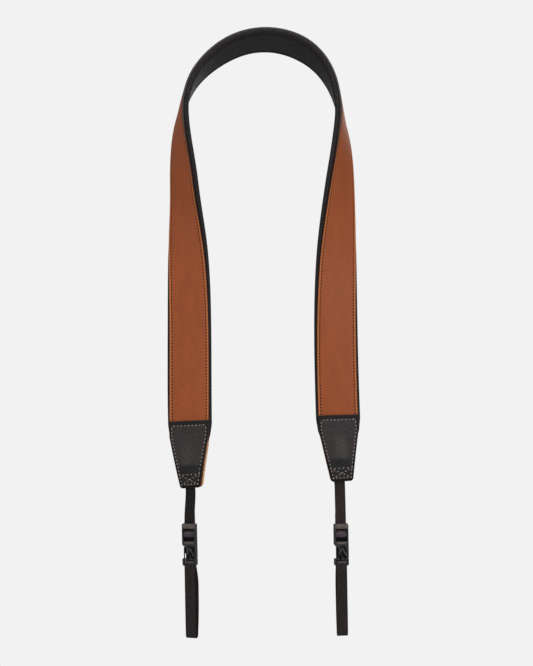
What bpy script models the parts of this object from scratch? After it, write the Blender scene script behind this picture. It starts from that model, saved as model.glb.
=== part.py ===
"""Camera neck strap, hanging as it is worn.

A tan leather band is sewn to a padded black lining. Each end narrows under a dark leather tab,
which holds a length of webbing. The webbing runs through a buckle, and the buckle's lower half
carries a closed loop of webbing that goes through a camera's lug.

Frame: metres, +Z up, +X to the right of somebody who looks at the strap, and -Y towards them.
The origin is on the lining's inner face, in the middle of the band, where the neck carries it.
"""

from collections import namedtuple
from math import cos, pi, radians, sin, sqrt

import bmesh
import bpy
import numpy as np
from mathutils import Matrix, Vector

MM = 0.001

# Band, from the crown to the foot of each end tab
HALF_LENGTH = {"left": 477.8 * MM, "right": 467 * MM}
LINING_WIDTH = 41.5 * MM
LINING_THICKNESS = 4.5 * MM
LINING_EDGE = 2.0 * MM
LEATHER_MARGIN = 2.2 * MM
LEATHER_THICKNESS = 2.0 * MM
LEATHER_BEVEL = 0.4 * MM
LAYER_GAP = 0.3 * MM

# End tabs: a straight shoulder, then a taper to a round-cornered foot
TAB_LENGTH = 61 * MM
TAB_SHOULDER = 14 * MM
TAB_FOOT_WIDTH = 20.2 * MM
TAB_CORNER = 2.5 * MM
TAB_THICKNESS = 2.0 * MM
BACK_TAB_LENGTH = 53 * MM
BACK_TAB_THICKNESS = 2.0 * MM
LINING_STOP = 41 * MM
LINING_TAPER = 17 * MM
LINING_END_THICKNESS = 1.2 * MM

# Webbing
WEBBING_WIDTH = 10 * MM
WEBBING_THICKNESS = 1.3 * MM
WEBBING_TUCK = 36 * MM
WEBBING_DROP = {"left": 33.1 * MM, "right": 39.3 * MM}
WEBBING_OFFSET = {"left": -1.9 * MM, "right": -1.8 * MM}
WEBBING_TAIL = 9 * MM
POCKET_RAMP = 1.6 * MM

# How each buckle and loop hangs: turned outwards and swung to the right, in degrees, and
# sideways from where the webbing leaves the tab
HARDWARE_TURN = {"left": 15.0, "right": 6.0}
HARDWARE_LEAN = {"left": 1.2, "right": 0.9}
HARDWARE_SHIFT = {"left": -1.8 * MM, "right": 0.3 * MM}

# Buckle, its heights measured down from its top
BUCKLE_WIDTH = 13.6 * MM
BUCKLE_DEPTH = 5.5 * MM
BUCKLE_RAIL = 1.5 * MM
BUCKLE_CORNER = 1.8 * MM
BUCKLE_BEVEL = 0.5 * MM
TOP_BAR_HEIGHT = 4.9 * MM
TOP_BAR_DEPTH = 2.3 * MM
WINDOW_FOOT = 16.5 * MM
WINDOW_WALL = 1.0 * MM
CENTRE_BAR_TOP = 7.7 * MM
CENTRE_BAR_HEIGHT = 3.1 * MM
BAR_DEPTH = 1.9 * MM
SOCKET_LENGTH = 21.6 * MM
SOCKET_NOTCH = 1.9 * MM
SOCKET_RAIL_WIDTH = 1.7 * MM
PLUG_FRAME_HEIGHT = 7.0 * MM
BUCKLE_LENGTH = 39.6 * MM
TONGUE_WIDTH = 8.7 * MM
TONGUE_SHIFT = 0.35 * MM
TONGUE_REACH = 3.0 * MM
TONGUE_DEPTH = 1.85 * MM
HOOK_STEP = 1.1 * MM
HOOK_DEPTH = 2.15 * MM
ARM_SLIT = 1.6 * MM
ARM_WIDTH = 0.7 * MM
ARM_DEPTH = 1.2 * MM
LOOP_BAR_HEIGHT = 2.4 * MM
LOOP_BAR_FOOT = 1.2 * MM
GROOVE_WIDTH = 0.9 * MM
GROOVE_DEPTH = 1.0 * MM

# Lug loops, from the middle of the bar that they hang on to the loop's foot
LOOP_LENGTH = {"left": 70.0 * MM, "right": 68.2 * MM}
LOOP_TWIST = {"left": 9.0, "right": 0.0}
LOOP_TWIST_SHARE = 0.25
LOOP_WIDEST = 6.4 * MM
LOOP_FOOT_RADIUS = 1.9 * MM
LOOP_FOOT_FLAT = 1.8 * MM
LOOP_FOOT_BACK = 0.8 * MM

# Mesh fineness, and the angles in degrees above which an edge is sharp or gets a bevel
BAND_STEPS = 52
BAND_END_STEPS = 10
TAPER_STEPS = 5
TWIST_STEPS = 6
LOOP_STEPS = 12
BAR_STEPS = 6
ARC_STEPS = 4
PATH_SAMPLES = 1200
SHARP_ANGLE = 35
BEVEL_ANGLE = 50
SHARPEST_MITRE = 0.6

Form = namedtuple("Form", "share turn lean roll")
Swell = namedtuple("Swell", "share front rear")
Groove = namedtuple("Groove", "across down")

# The band's hang. share is the distance from the crown over the half length. turn is the
# heading, from level to straight down; lean tips the run towards the viewer; roll lifts the
# edge that is nearest the viewer, or turns it inwards where it is negative. All in degrees.
HANG = {
    "right": (
        Form(0.000, 0.0, 0.0, 19.5),
        Form(0.075, 29.5, 8.0, 18.5),
        Form(0.150, 60.5, 12.5, 8.0),
        Form(0.200, 75.5, 13.0, 0.0),
        Form(0.250, 84.0, 12.0, -7.5),
        Form(0.300, 89.0, 10.5, -20.0),
        Form(0.360, 92.5, 8.5, -33.0),
        Form(0.430, 92.5, 8.0, -46.0),
        Form(0.560, 91.0, 8.0, -70.0),
        Form(0.750, 89.0, 8.5, -88.0),
        Form(0.900, 88.0, 6.0, -89.5),
        Form(1.000, 86.5, 0.0, -83.0),
    ),
    "left": (
        Form(0.000, 0.0, 0.0, 19.5),
        Form(0.075, 29.0, 7.0, 16.5),
        Form(0.150, 51.5, 13.0, 7.0),
        Form(0.200, 70.5, 12.5, -1.5),
        Form(0.235, 80.0, 13.0, -7.5),
        Form(0.270, 87.0, 12.0, -16.0),
        Form(0.310, 92.0, 11.0, -25.0),
        Form(0.360, 94.0, 10.0, -34.0),
        Form(0.430, 93.0, 9.0, -43.0),
        Form(0.560, 91.5, 9.5, -71.5),
        Form(0.750, 90.5, 9.5, -87.5),
        Form(0.900, 92.5, 7.0, -80.5),
        Form(1.000, 96.0, 0.0, -66.0),
    ),
}

# The lug loop's two layers between the bar and the foot. share runs down from the bar, and
# front and rear are the layers' distances from the bar's middle, over LOOP_WIDEST.
LOOP_FORM = (
    Swell(0.08, 0.30, 0.62),
    Swell(0.22, 0.30, 0.95),
    Swell(0.45, 0.31, 1.00),
    Swell(0.80, 0.33, 0.80),
)

# The latch's line on the hook's face, in shares of the face's half width and of its height.
LATCH_LINE = (
    Groove(-0.60, 0.10),
    Groove(-0.15, 0.04),
    Groove(0.35, 0.06),
    Groove(0.72, 0.22),
    Groove(0.74, 0.42),
    Groove(0.34, 0.52),
    Groove(0.14, 0.64),
    Groove(0.40, 0.80),
    Groove(0.78, 0.94),
)

SIDES = {"left": -1, "right": 1}

# What follows from the sizes
LEATHER_WIDTH = LINING_WIDTH - 2 * LEATHER_MARGIN
LEATHER_INNER = -LINING_THICKNESS - LAYER_GAP
LEATHER_OUTER = LEATHER_INNER - LEATHER_THICKNESS
TAB_INNER = LEATHER_OUTER - LAYER_GAP
WEBBING_LAYER = -LINING_THICKNESS + WEBBING_THICKNESS / 2
WINDOW_WIDTH = BUCKLE_WIDTH - 2 * BUCKLE_RAIL
HALF_WEBBING = WEBBING_THICKNESS / 2
TOP_BAR_BACK = -HALF_WEBBING - LAYER_GAP
BUCKLE_FRONT = TOP_BAR_BACK - TOP_BAR_DEPTH
BUCKLE_BACK = BUCKLE_FRONT + BUCKLE_DEPTH
TAIL_LAYER = WEBBING_THICKNESS + LAYER_GAP
CENTRE_BAR_BACK = TAIL_LAYER - HALF_WEBBING - LAYER_GAP
CENTRE_BAR_MIDDLE = CENTRE_BAR_BACK - BAR_DEPTH / 2
WRAP_RADIUS = BAR_DEPTH / 2 + LAYER_GAP + HALF_WEBBING
BUCKLE_MIDDLE = (BUCKLE_FRONT + BUCKLE_BACK) / 2
HOOK_FRONT = BUCKLE_MIDDLE - HOOK_DEPTH
TONGUE_BACK = BUCKLE_MIDDLE + TONGUE_DEPTH
PLUG_FRAME_TOP = BUCKLE_LENGTH - PLUG_FRAME_HEIGHT


def clear_scene():
    """Remove the objects of the scene that the script is run in."""
    for item in list(bpy.data.objects):
        bpy.data.objects.remove(item, do_unlink=True)


def make_material(name, colour, roughness, metallic=0.0):
    """Return a Principled material."""
    material = bpy.data.materials.new(name)
    material.use_nodes = True
    shader = material.node_tree.nodes["Principled BSDF"]
    shader.inputs["Base Color"].default_value = (*colour, 1.0)
    shader.inputs["Roughness"].default_value = roughness
    shader.inputs["Metallic"].default_value = metallic
    return material


def make_object(name, mesh, material, parent=None):
    """Link a mesh into the scene as one named object."""
    mesh.materials.append(material)
    mesh.shade_smooth()
    mesh.set_sharp_from_angle(angle=radians(SHARP_ANGLE))
    item = bpy.data.objects.new(name, mesh)
    bpy.context.collection.objects.link(item)
    item.parent = parent
    return item


def loft(name, rings, closed=False):
    """Return a mesh whose skin joins rings of points, capped at both ends unless closed."""
    shape = bmesh.new()
    loops = [[shape.verts.new(tuple(point)) for point in ring] for ring in rings]
    following = loops[1:] + loops[:1] if closed else loops[1:]
    for near, far in zip(loops, following):
        count = len(near)
        for i in range(count):
            j = (i + 1) % count
            shape.faces.new((near[i], near[j], far[j], far[i]))
    if not closed:
        shape.faces.new(loops[0])
        shape.faces.new(loops[-1])
    bmesh.ops.recalc_face_normals(shape, faces=shape.faces)
    mesh = bpy.data.meshes.new(name)
    shape.to_mesh(mesh)
    shape.free()
    return mesh


def smooth_curve(places, values, wanted):
    """Read a smooth curve through a short table of values."""
    places = np.asarray(places, float)
    values = np.asarray(values, float)
    wanted = np.asarray(wanted, float)
    step = np.diff(places)
    rise = np.diff(values) / step
    slope = np.empty(len(places))
    slope[0] = rise[0]
    slope[-1] = rise[-1]
    slope[1:-1] = (rise[:-1] * step[1:] + rise[1:] * step[:-1]) / (step[1:] + step[:-1])
    index = np.clip(np.searchsorted(places, wanted, side="right") - 1, 0, len(places) - 2)
    h = step[index]
    t = (wanted - places[index]) / h
    return (
        (2 * t**3 - 3 * t**2 + 1) * values[index]
        + (t**3 - 2 * t**2 + t) * h * slope[index]
        + (3 * t**2 - 2 * t**3) * values[index + 1]
        + (t**3 - t**2) * h * slope[index + 1]
    )


def hang_directions(side, shares):
    """Return the band's run, its width and its inner normal at shares of a half length."""
    rows = HANG[side]
    places = [row.share for row in rows]
    turn = np.radians(smooth_curve(places, [row.turn for row in rows], shares))
    lean = np.radians(smooth_curve(places, [row.lean for row in rows], shares))
    roll = np.radians(smooth_curve(places, [row.roll for row in rows], shares))
    hand = SIDES[side]
    flat = np.zeros_like(turn)
    ahead = np.stack([hand * np.cos(turn), flat, -np.sin(turn)], axis=1)
    outward = np.stack([hand * np.sin(turn), flat, np.cos(turn)], axis=1)
    viewer = np.array([0.0, -1.0, 0.0])
    run = np.cos(lean)[:, None] * ahead + np.sin(lean)[:, None] * viewer
    forward = np.cos(lean)[:, None] * viewer - np.sin(lean)[:, None] * ahead
    width = np.cos(roll)[:, None] * forward + np.sin(roll)[:, None] * outward
    inner = np.sin(roll)[:, None] * forward - np.cos(roll)[:, None] * outward
    return run, width, inner


def hang_path(side):
    """Return sample distances along a half band and the points of its inner face's middle."""
    shares = np.linspace(0.0, 1.0, PATH_SAMPLES)
    run = hang_directions(side, shares)[0]
    distances = shares * HALF_LENGTH[side]
    steps = 0.5 * (run[1:] + run[:-1]) * np.diff(distances)[:, None]
    return distances, np.vstack([np.zeros(3), np.cumsum(steps, axis=0)])


PATHS = {side: hang_path(side) for side in SIDES}


def band_frame(side, distance):
    """Return the point, run, width and inner normal at a distance from the crown."""
    distances, points = PATHS[side]
    centre = np.array([np.interp(distance, distances, points[:, axis]) for axis in range(3)])
    run, width, inner = hang_directions(side, np.array([distance / HALF_LENGTH[side]]))
    return centre, run[0], width[0], inner[0]


def band_ring(side, distance, outline):
    """Place a cross-section, a list of (across, depth) pairs, on the band."""
    centre, _run, width, inner = band_frame(side, distance)
    return [centre + across * width + depth * inner for across, depth in outline]


def tab_half_width(height):
    """Half the tab's width at a height above its foot."""
    taper = TAB_LENGTH - TAB_SHOULDER
    share = min(height / taper, 1.0)
    half = TAB_FOOT_WIDTH / 2 + share * (LEATHER_WIDTH - TAB_FOOT_WIDTH) / 2
    if height < TAB_CORNER:
        half -= TAB_CORNER - sqrt(TAB_CORNER**2 - (TAB_CORNER - height) ** 2)
    return half


def tab_heights(top):
    """Heights above the foot for the rings of a tab, close together round its corners."""
    corner = [TAB_CORNER * (1 - cos(pi / 2 * i / ARC_STEPS)) for i in range(ARC_STEPS + 1)]
    rise = (TAB_LENGTH - TAB_SHOULDER - TAB_CORNER) / TAPER_STEPS
    taper = [TAB_CORNER + rise * i for i in range(1, TAPER_STEPS + 1)]
    heights = corner + [height for height in taper if height < top]
    return heights + [top]


def lining_thickness(height):
    """The lining is full thickness on the band and thins down behind the tab."""
    share = min(max((height - LINING_STOP) / LINING_TAPER, 0.0), 1.0)
    ease = share * share * (3 - 2 * share)
    return LINING_END_THICKNESS + (LINING_THICKNESS - LINING_END_THICKNESS) * ease


def lining_half_width(height):
    """The lining narrows to the tab's width where it stops."""
    share = min(max((height - LINING_STOP) / LINING_TAPER, 0.0), 1.0)
    return LEATHER_WIDTH / 2 + LEATHER_MARGIN * share


def lining_outline(height):
    """Cross-section of the padded lining: flat faces and round edges."""
    half = lining_half_width(height)
    thickness = lining_thickness(height)
    back = -LINING_THICKNESS
    middle = back + thickness / 2
    outline = []
    for edge in (1, -1):
        for i in range(ARC_STEPS + 1):
            angle = pi / 2 - pi * i / ARC_STEPS
            across = half - LINING_EDGE * (1 - cos(angle))
            outline.append((edge * across, middle + edge * thickness / 2 * sin(angle)))
    return outline


def slab_outline(half, outer, inner, bevel):
    """Cross-section of a flat strip with small bevels on its corners."""
    return [
        (half, outer + bevel),
        (half, inner - bevel),
        (half - bevel, inner),
        (-half + bevel, inner),
        (-half, inner - bevel),
        (-half, outer + bevel),
        (-half + bevel, outer),
        (half - bevel, outer),
    ]


def signed_rings(outline_at, stop):
    """Rings for a strip that runs over the crown and stops at a height above each foot."""
    rings = []
    for side in SIDES:
        reach = HALF_LENGTH[side] - stop
        bend = HALF_LENGTH[side] - max(TAB_LENGTH, LINING_STOP + LINING_TAPER)
        run = [bend * i / BAND_STEPS for i in range(BAND_STEPS + 1)]
        if stop == 0:
            run += [reach - height for height in reversed(tab_heights(TAB_LENGTH))]
        else:
            step = (reach - bend) / BAND_END_STEPS
            run += [bend + step * i for i in range(1, BAND_END_STEPS + 1)]
        placed = [band_ring(side, s, outline_at(HALF_LENGTH[side] - s)) for s in run]
        rings += placed[:0:-1] if side == "left" else placed
    return rings


def make_lining(material):
    """Padded black lining, next to the neck."""
    mesh = loft("lining", signed_rings(lining_outline, LINING_STOP))
    return make_object("padded_lining", mesh, material)


def make_leather_band(material):
    """Tan leather band, which carries on beneath the tabs to their feet."""

    def outline(height):
        half = min(LEATHER_WIDTH / 2, tab_half_width(height))
        return slab_outline(half, LEATHER_OUTER, LEATHER_INNER, LEATHER_BEVEL)

    mesh = loft("leather_band", signed_rings(outline, 0))
    return make_object("leather_band", mesh, material)


def make_front_tab(side, material):
    """Dark leather tab on the face of the band's end."""
    outer = TAB_INNER - TAB_THICKNESS
    rings = []
    for height in tab_heights(TAB_LENGTH):
        half = tab_half_width(height)
        outline = slab_outline(half, outer, TAB_INNER, LEATHER_BEVEL)
        rings.append(band_ring(side, HALF_LENGTH[side] - height, outline))
    return make_object("tab_front_" + side, loft("tab_front", rings), material)


def back_tab_outline(side, height):
    """Cross-section of the back tab: it lies on the leather and swells over the webbing."""
    half = tab_half_width(height)
    shift = -SIDES[side] * WEBBING_OFFSET[side]
    seat = -LINING_THICKNESS
    over_webbing = seat + WEBBING_THICKNESS + LAYER_GAP
    over_lining = seat + lining_thickness(height) + LAYER_GAP
    share = min(max((height - WEBBING_TUCK) / (LINING_STOP - WEBBING_TUCK), 0.0), 1.0)
    edge = seat + share * (over_lining - seat)
    middle = over_webbing + share * (over_lining - over_webbing)
    room = half - LAYER_GAP - abs(shift)
    crest = min(WEBBING_WIDTH / 2 + 2 * LAYER_GAP, room - LAYER_GAP)
    foot = min(crest + POCKET_RAMP, room)
    lower = [(-half, edge), (shift - foot, edge), (shift - crest, middle)]
    lower += [(shift + crest, middle), (shift + foot, edge), (half, edge)]
    upper = [(across, depth + BACK_TAB_THICKNESS) for across, depth in reversed(lower)]
    return lower + upper


def make_back_tab(side, material):
    """Tan leather tab behind the band's end, over the lining's stop and the webbing."""
    heights = sorted(set(tab_heights(BACK_TAB_LENGTH) + [WEBBING_TUCK, LINING_STOP]))
    rings = []
    for height in heights:
        outline = back_tab_outline(side, height)
        rings.append(band_ring(side, HALF_LENGTH[side] - height, outline))
    return make_object("tab_back_" + side, loft("tab_back", rings), material)


def webbing_seat(side, height):
    """Middle of the webbing inside the tab, and the direction of its width."""
    centre, _run, width, inner = band_frame(side, HALF_LENGTH[side] - height)
    across = -SIDES[side] * width
    return Vector(centre + WEBBING_LAYER * inner + WEBBING_OFFSET[side] * across), Vector(across)


def end_frame(side):
    """Frame of a hanging end, level with the tab's foot: Z up, X along the hardware's width."""
    turn = Matrix.Rotation(SIDES[side] * radians(HARDWARE_TURN[side]), 4, "Z")
    lean = Matrix.Rotation(-radians(HARDWARE_LEAN[side]), 4, "Y")
    shift = Matrix.Translation(webbing_seat(side, 0.0)[0] + Vector((HARDWARE_SHIFT[side], 0, 0)))
    return shift @ lean @ turn


def make_end_empty(side):
    """Empty that carries one end's webbing, buckle and loop."""
    empty = bpy.data.objects.new("end_" + side, None)
    empty.empty_display_size = 0.02
    empty.matrix_world = end_frame(side)
    bpy.context.collection.objects.link(empty)
    return empty


def strip_rings(points, across, width, thickness, closed=False):
    """Rings of a flat strip that follows points, with mitred bends."""
    points = [np.asarray(point, float) for point in points]
    count = len(points)
    rings = []
    for i in range(count):
        before = points[i] - points[i - 1] if closed or i else points[1] - points[0]
        after = points[(i + 1) % count] - points[i] if closed or i < count - 1 else before
        before = before / np.linalg.norm(before)
        after = after / np.linalg.norm(after)
        run = before + after
        run = run / np.linalg.norm(run)
        side = np.asarray(across[i] if isinstance(across, list) else across, float)
        normal = np.cross(run, side)
        normal = normal / np.linalg.norm(normal)
        mitre = 1.0 / max(SHARPEST_MITRE, float(np.dot(run, before)))
        offset = normal * thickness / 2 * mitre
        edge = side / np.linalg.norm(side) * width / 2
        corner = points[i]
        rings.append([corner - edge - offset, corner + edge - offset,
                      corner + edge + offset, corner - edge + offset])
    return rings


def webbing_route(side):
    """Points of the webbing at the buckle, in the end's frame, round the buckle's bars."""
    top = -WEBBING_DROP[side]
    front = CENTRE_BAR_MIDDLE - WRAP_RADIUS
    bend = top - CENTRE_BAR_TOP - CENTRE_BAR_HEIGHT + BAR_DEPTH / 2
    drop = top - TOP_BAR_HEIGHT - HALF_WEBBING
    route = [(0.0, 0.0, top), (0.0, 0.0, drop), (0.0, front, top - CENTRE_BAR_TOP + LAYER_GAP)]
    steps = 2 * ARC_STEPS
    for i in range(steps + 1):
        angle = pi * i / steps
        depth = CENTRE_BAR_MIDDLE - WRAP_RADIUS * cos(angle)
        route.append((0.0, depth, bend - WRAP_RADIUS * sin(angle)))
    route.append((0.0, TAIL_LAYER, top + WEBBING_TAIL))
    return route


def make_webbing(side, material, empty):
    """Webbing from inside the tab, round the buckle's centre bar and up as a short tail."""
    inverse = empty.matrix_world.inverted()
    level = Vector((1.0, 0.0, 0.0))
    points = []
    across = []
    for height in (WEBBING_TUCK, WEBBING_TUCK / 2, WEBBING_TUCK / 8):
        seat, width = webbing_seat(side, height)
        points.append(inverse @ seat)
        across.append(inverse.to_3x3() @ width)
    start = inverse @ webbing_seat(side, 0.0)[0]
    turned = across[-1]
    for i in range(1, TWIST_STEPS):
        share = i / TWIST_STEPS
        ease = share * share * (3 - 2 * share)
        height = start.z + (-WEBBING_DROP[side] - start.z) * share
        points.append((start.x * (1 - ease), start.y * (1 - ease), height))
        across.append(turned.lerp(level, ease).normalized())
    route = webbing_route(side)
    points += route
    across += [level] * len(route)
    rings = strip_rings(points, across, WEBBING_WIDTH, WEBBING_THICKNESS)
    return make_object("webbing_" + side, loft("webbing", rings), material, empty)


def slab(name, outline, front, back):
    """Return a mesh made by drawing an outline of (across, height) pairs out from front to back."""
    rings = [[(across, depth, height) for across, height in outline] for depth in (front, back)]
    return loft(name, rings)


def helper(name, mesh, empty, place):
    """A shape that only adds to or cuts another."""
    item = bpy.data.objects.new(name, mesh)
    bpy.context.collection.objects.link(item)
    item.parent = empty
    item.location = place
    item.hide_render = True
    item.display_type = "WIRE"
    return item


def block(name, x, y, z, empty, place):
    """A box-shaped helper, from ranges along its three axes."""
    outline = [(x[0], z[0]), (x[1], z[0]), (x[1], z[1]), (x[0], z[1])]
    return helper(name, slab(name, outline, y[0], y[1]), empty, place)


def combine(item, operation, other):
    """Add a Boolean to an object."""
    change = item.modifiers.new(operation.lower(), "BOOLEAN")
    change.operation = operation
    change.solver = "EXACT"
    change.object = other


def soften(item, width):
    """Bevel the sharp edges of a moulded piece."""
    bevel = item.modifiers.new("bevel", "BEVEL")
    bevel.width = width
    bevel.segments = 2
    bevel.limit_method = "ANGLE"
    bevel.angle_limit = radians(BEVEL_ANGLE)


def corner_arc(centre_x, centre_z, radius, start, end):
    """Points of a round corner, angles in quarter turns from +X."""
    points = []
    for i in range(ARC_STEPS + 1):
        angle = pi / 2 * (start + (end - start) * i / ARC_STEPS)
        points.append((centre_x + radius * cos(angle), centre_z + radius * sin(angle)))
    return points


def bar_mesh(name, middle, low, high, half_width):
    """A bar with a round top and foot that spans a window."""
    radius = BAR_DEPTH / 2
    turn = [(radius * cos(pi * i / BAR_STEPS), radius * sin(pi * i / BAR_STEPS))
            for i in range(BAR_STEPS + 1)]
    outline = [(middle + depth, high - radius + rise) for depth, rise in turn]
    outline += [(middle - depth, low + radius - rise) for depth, rise in turn]
    rings = [[(across, depth, height) for depth, height in outline]
             for across in (-half_width, half_width)]
    return loft(name, rings)


def make_socket(side, material, empty):
    """Upper half of the buckle: webbing window with its bars, and the plug's pocket."""
    place = (0.0, 0.0, -WEBBING_DROP[side])
    half = BUCKLE_WIDTH / 2
    inner = half - SOCKET_RAIL_WIDTH
    foot = PLUG_FRAME_TOP - LAYER_GAP
    turn = BUCKLE_CORNER
    outline = corner_arc(half - turn, -turn, turn, 0, 1)
    outline += corner_arc(-half + turn, -turn, turn, 1, 2)
    outline += [(-half, -SOCKET_LENGTH + SOCKET_NOTCH), (-half + SOCKET_NOTCH, -SOCKET_LENGTH)]
    outline += [(inner, -SOCKET_LENGTH), (inner, -foot), (half, -foot)]
    mesh = slab("socket", outline, BUCKLE_FRONT, BUCKLE_BACK)
    item = make_object("buckle_socket_" + side, mesh, material, empty)
    item.location = place
    soften(item, BUCKLE_BEVEL)
    beyond = BUCKLE_DEPTH
    reach = WINDOW_WIDTH / 2
    across = (-reach, reach)
    window = block("window_" + side, across, (BUCKLE_FRONT - beyond, BUCKLE_BACK - WINDOW_WALL),
                   (-WINDOW_FOOT, -TOP_BAR_HEIGHT), empty, place)
    channel = block("channel_" + side, across, (TOP_BAR_BACK, BUCKLE_BACK + beyond),
                    (-TOP_BAR_HEIGHT - LAYER_GAP, beyond), empty, place)
    low = -CENTRE_BAR_TOP - CENTRE_BAR_HEIGHT
    fold_foot = low + BAR_DEPTH / 2 - WRAP_RADIUS - HALF_WEBBING - LAYER_GAP
    way_out = block("way_out_" + side, across, (CENTRE_BAR_MIDDLE, BUCKLE_BACK + beyond),
                    (fold_foot, -TOP_BAR_HEIGHT), empty, place)
    bar = helper("centre_bar_" + side, bar_mesh("bar", CENTRE_BAR_MIDDLE, low, -CENTRE_BAR_TOP,
                                                half - BUCKLE_RAIL / 2), empty, place)
    pocket_half = TONGUE_WIDTH / 2 + LAYER_GAP
    pocket = block("pocket_" + side, (TONGUE_SHIFT - pocket_half, TONGUE_SHIFT + pocket_half),
                   (BUCKLE_MIDDLE - LAYER_GAP, TONGUE_BACK + LAYER_GAP),
                   (-SOCKET_LENGTH - beyond, -SOCKET_LENGTH + TONGUE_REACH + LAYER_GAP),
                   empty, place)
    combine(item, "DIFFERENCE", window)
    combine(item, "DIFFERENCE", way_out)
    combine(item, "DIFFERENCE", channel)
    combine(item, "UNION", bar)
    combine(item, "DIFFERENCE", pocket)
    return item


def latch_cutter(side, empty, place, low_across, high_across, top, foot):
    """Cutter for the curved latch line on the hook's face."""
    middle = (low_across + high_across) / 2
    half = (high_across - low_across) / 2
    beyond = GROOVE_WIDTH
    depth = HOOK_FRONT + (GROOVE_DEPTH - beyond) / 2
    places = np.linspace(0.0, 1.0, len(LATCH_LINE))
    fine = np.linspace(0.0, 1.0, 2 * len(LATCH_LINE))
    across = smooth_curve(places, [middle + row.across * half for row in LATCH_LINE], fine)
    down = smooth_curve(places, [top + (foot - top) * row.down for row in LATCH_LINE], fine)
    points = [(x, depth, z) for x, z in zip(across, down)]
    rings = strip_rings(points, (0.0, 1.0, 0.0), GROOVE_DEPTH + beyond, GROOVE_WIDTH)
    return helper("latch_line_" + side, loft("latch_line", rings), empty, place)


def make_plug(side, material, empty):
    """Lower half of the buckle: tongue, hook plate, latch arm and the loop's bar."""
    place = (0.0, 0.0, -WEBBING_DROP[side])
    half = BUCKLE_WIDTH / 2
    turn = BUCKLE_CORNER
    outline = [(half, -PLUG_FRAME_TOP), (-half, -PLUG_FRAME_TOP)]
    outline += corner_arc(-half + turn, -BUCKLE_LENGTH + turn, turn, 2, 3)
    outline += corner_arc(half - turn, -BUCKLE_LENGTH + turn, turn, 3, 4)
    item = make_object("buckle_plug_" + side, slab("plug", outline, BUCKLE_FRONT, BUCKLE_BACK),
                       material, empty)
    item.location = place
    soften(item, BUCKLE_BEVEL)
    beyond = BUCKLE_DEPTH
    reach = WINDOW_WIDTH / 2
    shoulder = loop_bar_top() + WRAP_RADIUS + LAYER_GAP
    bay = block("bay_" + side, (-reach, reach), (BUCKLE_FRONT - beyond, BUCKLE_BACK + beyond),
                (-BUCKLE_LENGTH - beyond, shoulder), empty, place)
    bar = helper("loop_bar_" + side, bar_mesh("bar", BUCKLE_MIDDLE, loop_bar_top()
                                              - LOOP_BAR_HEIGHT, loop_bar_top(),
                                              half - BUCKLE_RAIL / 2), empty, place)
    overlap = (shoulder - PLUG_FRAME_TOP) / 2
    top = -SOCKET_LENGTH - LAYER_GAP
    blade = (TONGUE_SHIFT - TONGUE_WIDTH / 2, TONGUE_SHIFT + TONGUE_WIDTH / 2)
    hook = (blade[0] + HOOK_STEP, blade[1] - LAYER_GAP)
    arm_inner = hook[0] - ARM_SLIT
    tongue = block("tongue_" + side, blade, (BUCKLE_MIDDLE, TONGUE_BACK),
                   (overlap, -SOCKET_LENGTH + TONGUE_REACH), empty, place)
    plate = block("hook_plate_" + side, hook, (HOOK_FRONT, BUCKLE_MIDDLE + LAYER_GAP),
                  (overlap, top), empty, place)
    arm = block("latch_arm_" + side, (arm_inner - ARM_WIDTH, arm_inner),
                (HOOK_FRONT, HOOK_FRONT + ARM_DEPTH), (overlap, top), empty, place)
    combine(item, "DIFFERENCE", bay)
    combine(item, "UNION", bar)
    combine(item, "UNION", tongue)
    combine(item, "UNION", plate)
    combine(item, "UNION", arm)
    line = latch_cutter(side, empty, place, hook[0], hook[1], top, -PLUG_FRAME_TOP)
    combine(item, "DIFFERENCE", line)
    return item


def loop_bar_top():
    """Height of the loop bar's top in the buckle's frame."""
    return -BUCKLE_LENGTH + LOOP_BAR_FOOT + LOOP_BAR_HEIGHT


def loop_route(side):
    """Points of the closed lug loop in the buckle's frame, front side first, going down."""
    bar = loop_bar_top() - BAR_DEPTH / 2
    foot = bar - LOOP_LENGTH[side]
    flat = LOOP_FOOT_FLAT / 2
    shares = np.linspace(0.0, 1.0, LOOP_STEPS + 1)
    places = [0.0] + [row.share for row in LOOP_FORM] + [1.0]
    front = [row.front * LOOP_WIDEST for row in LOOP_FORM]
    rear = [row.rear * LOOP_WIDEST for row in LOOP_FORM]
    reach = flat + LOOP_FOOT_RADIUS
    front = smooth_curve(places, [WRAP_RADIUS] + front + [reach - LOOP_FOOT_BACK], shares)
    rear = smooth_curve(places, [WRAP_RADIUS] + rear + [reach + LOOP_FOOT_BACK], shares)
    bend = foot + LOOP_FOOT_RADIUS + HALF_WEBBING
    heights = bar + (bend - bar) * shares
    turn = []
    for i in range(1, ARC_STEPS + 1):
        angle = pi / 2 * i / ARC_STEPS
        turn.append((flat + LOOP_FOOT_RADIUS * cos(angle), bend - LOOP_FOOT_RADIUS * sin(angle)))
    route = [(-depth, z) for depth, z in zip(front, heights)]
    route += [(LOOP_FOOT_BACK - depth, z) for depth, z in turn]
    route += [(LOOP_FOOT_BACK + depth, z) for depth, z in reversed(turn)]
    route += [(depth, z) for depth, z in zip(reversed(rear), reversed(heights))]
    steps = 2 * ARC_STEPS
    for i in range(1, steps):
        angle = pi * i / steps
        route.append((WRAP_RADIUS * cos(angle), bar + WRAP_RADIUS * sin(angle)))
    return route


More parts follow.
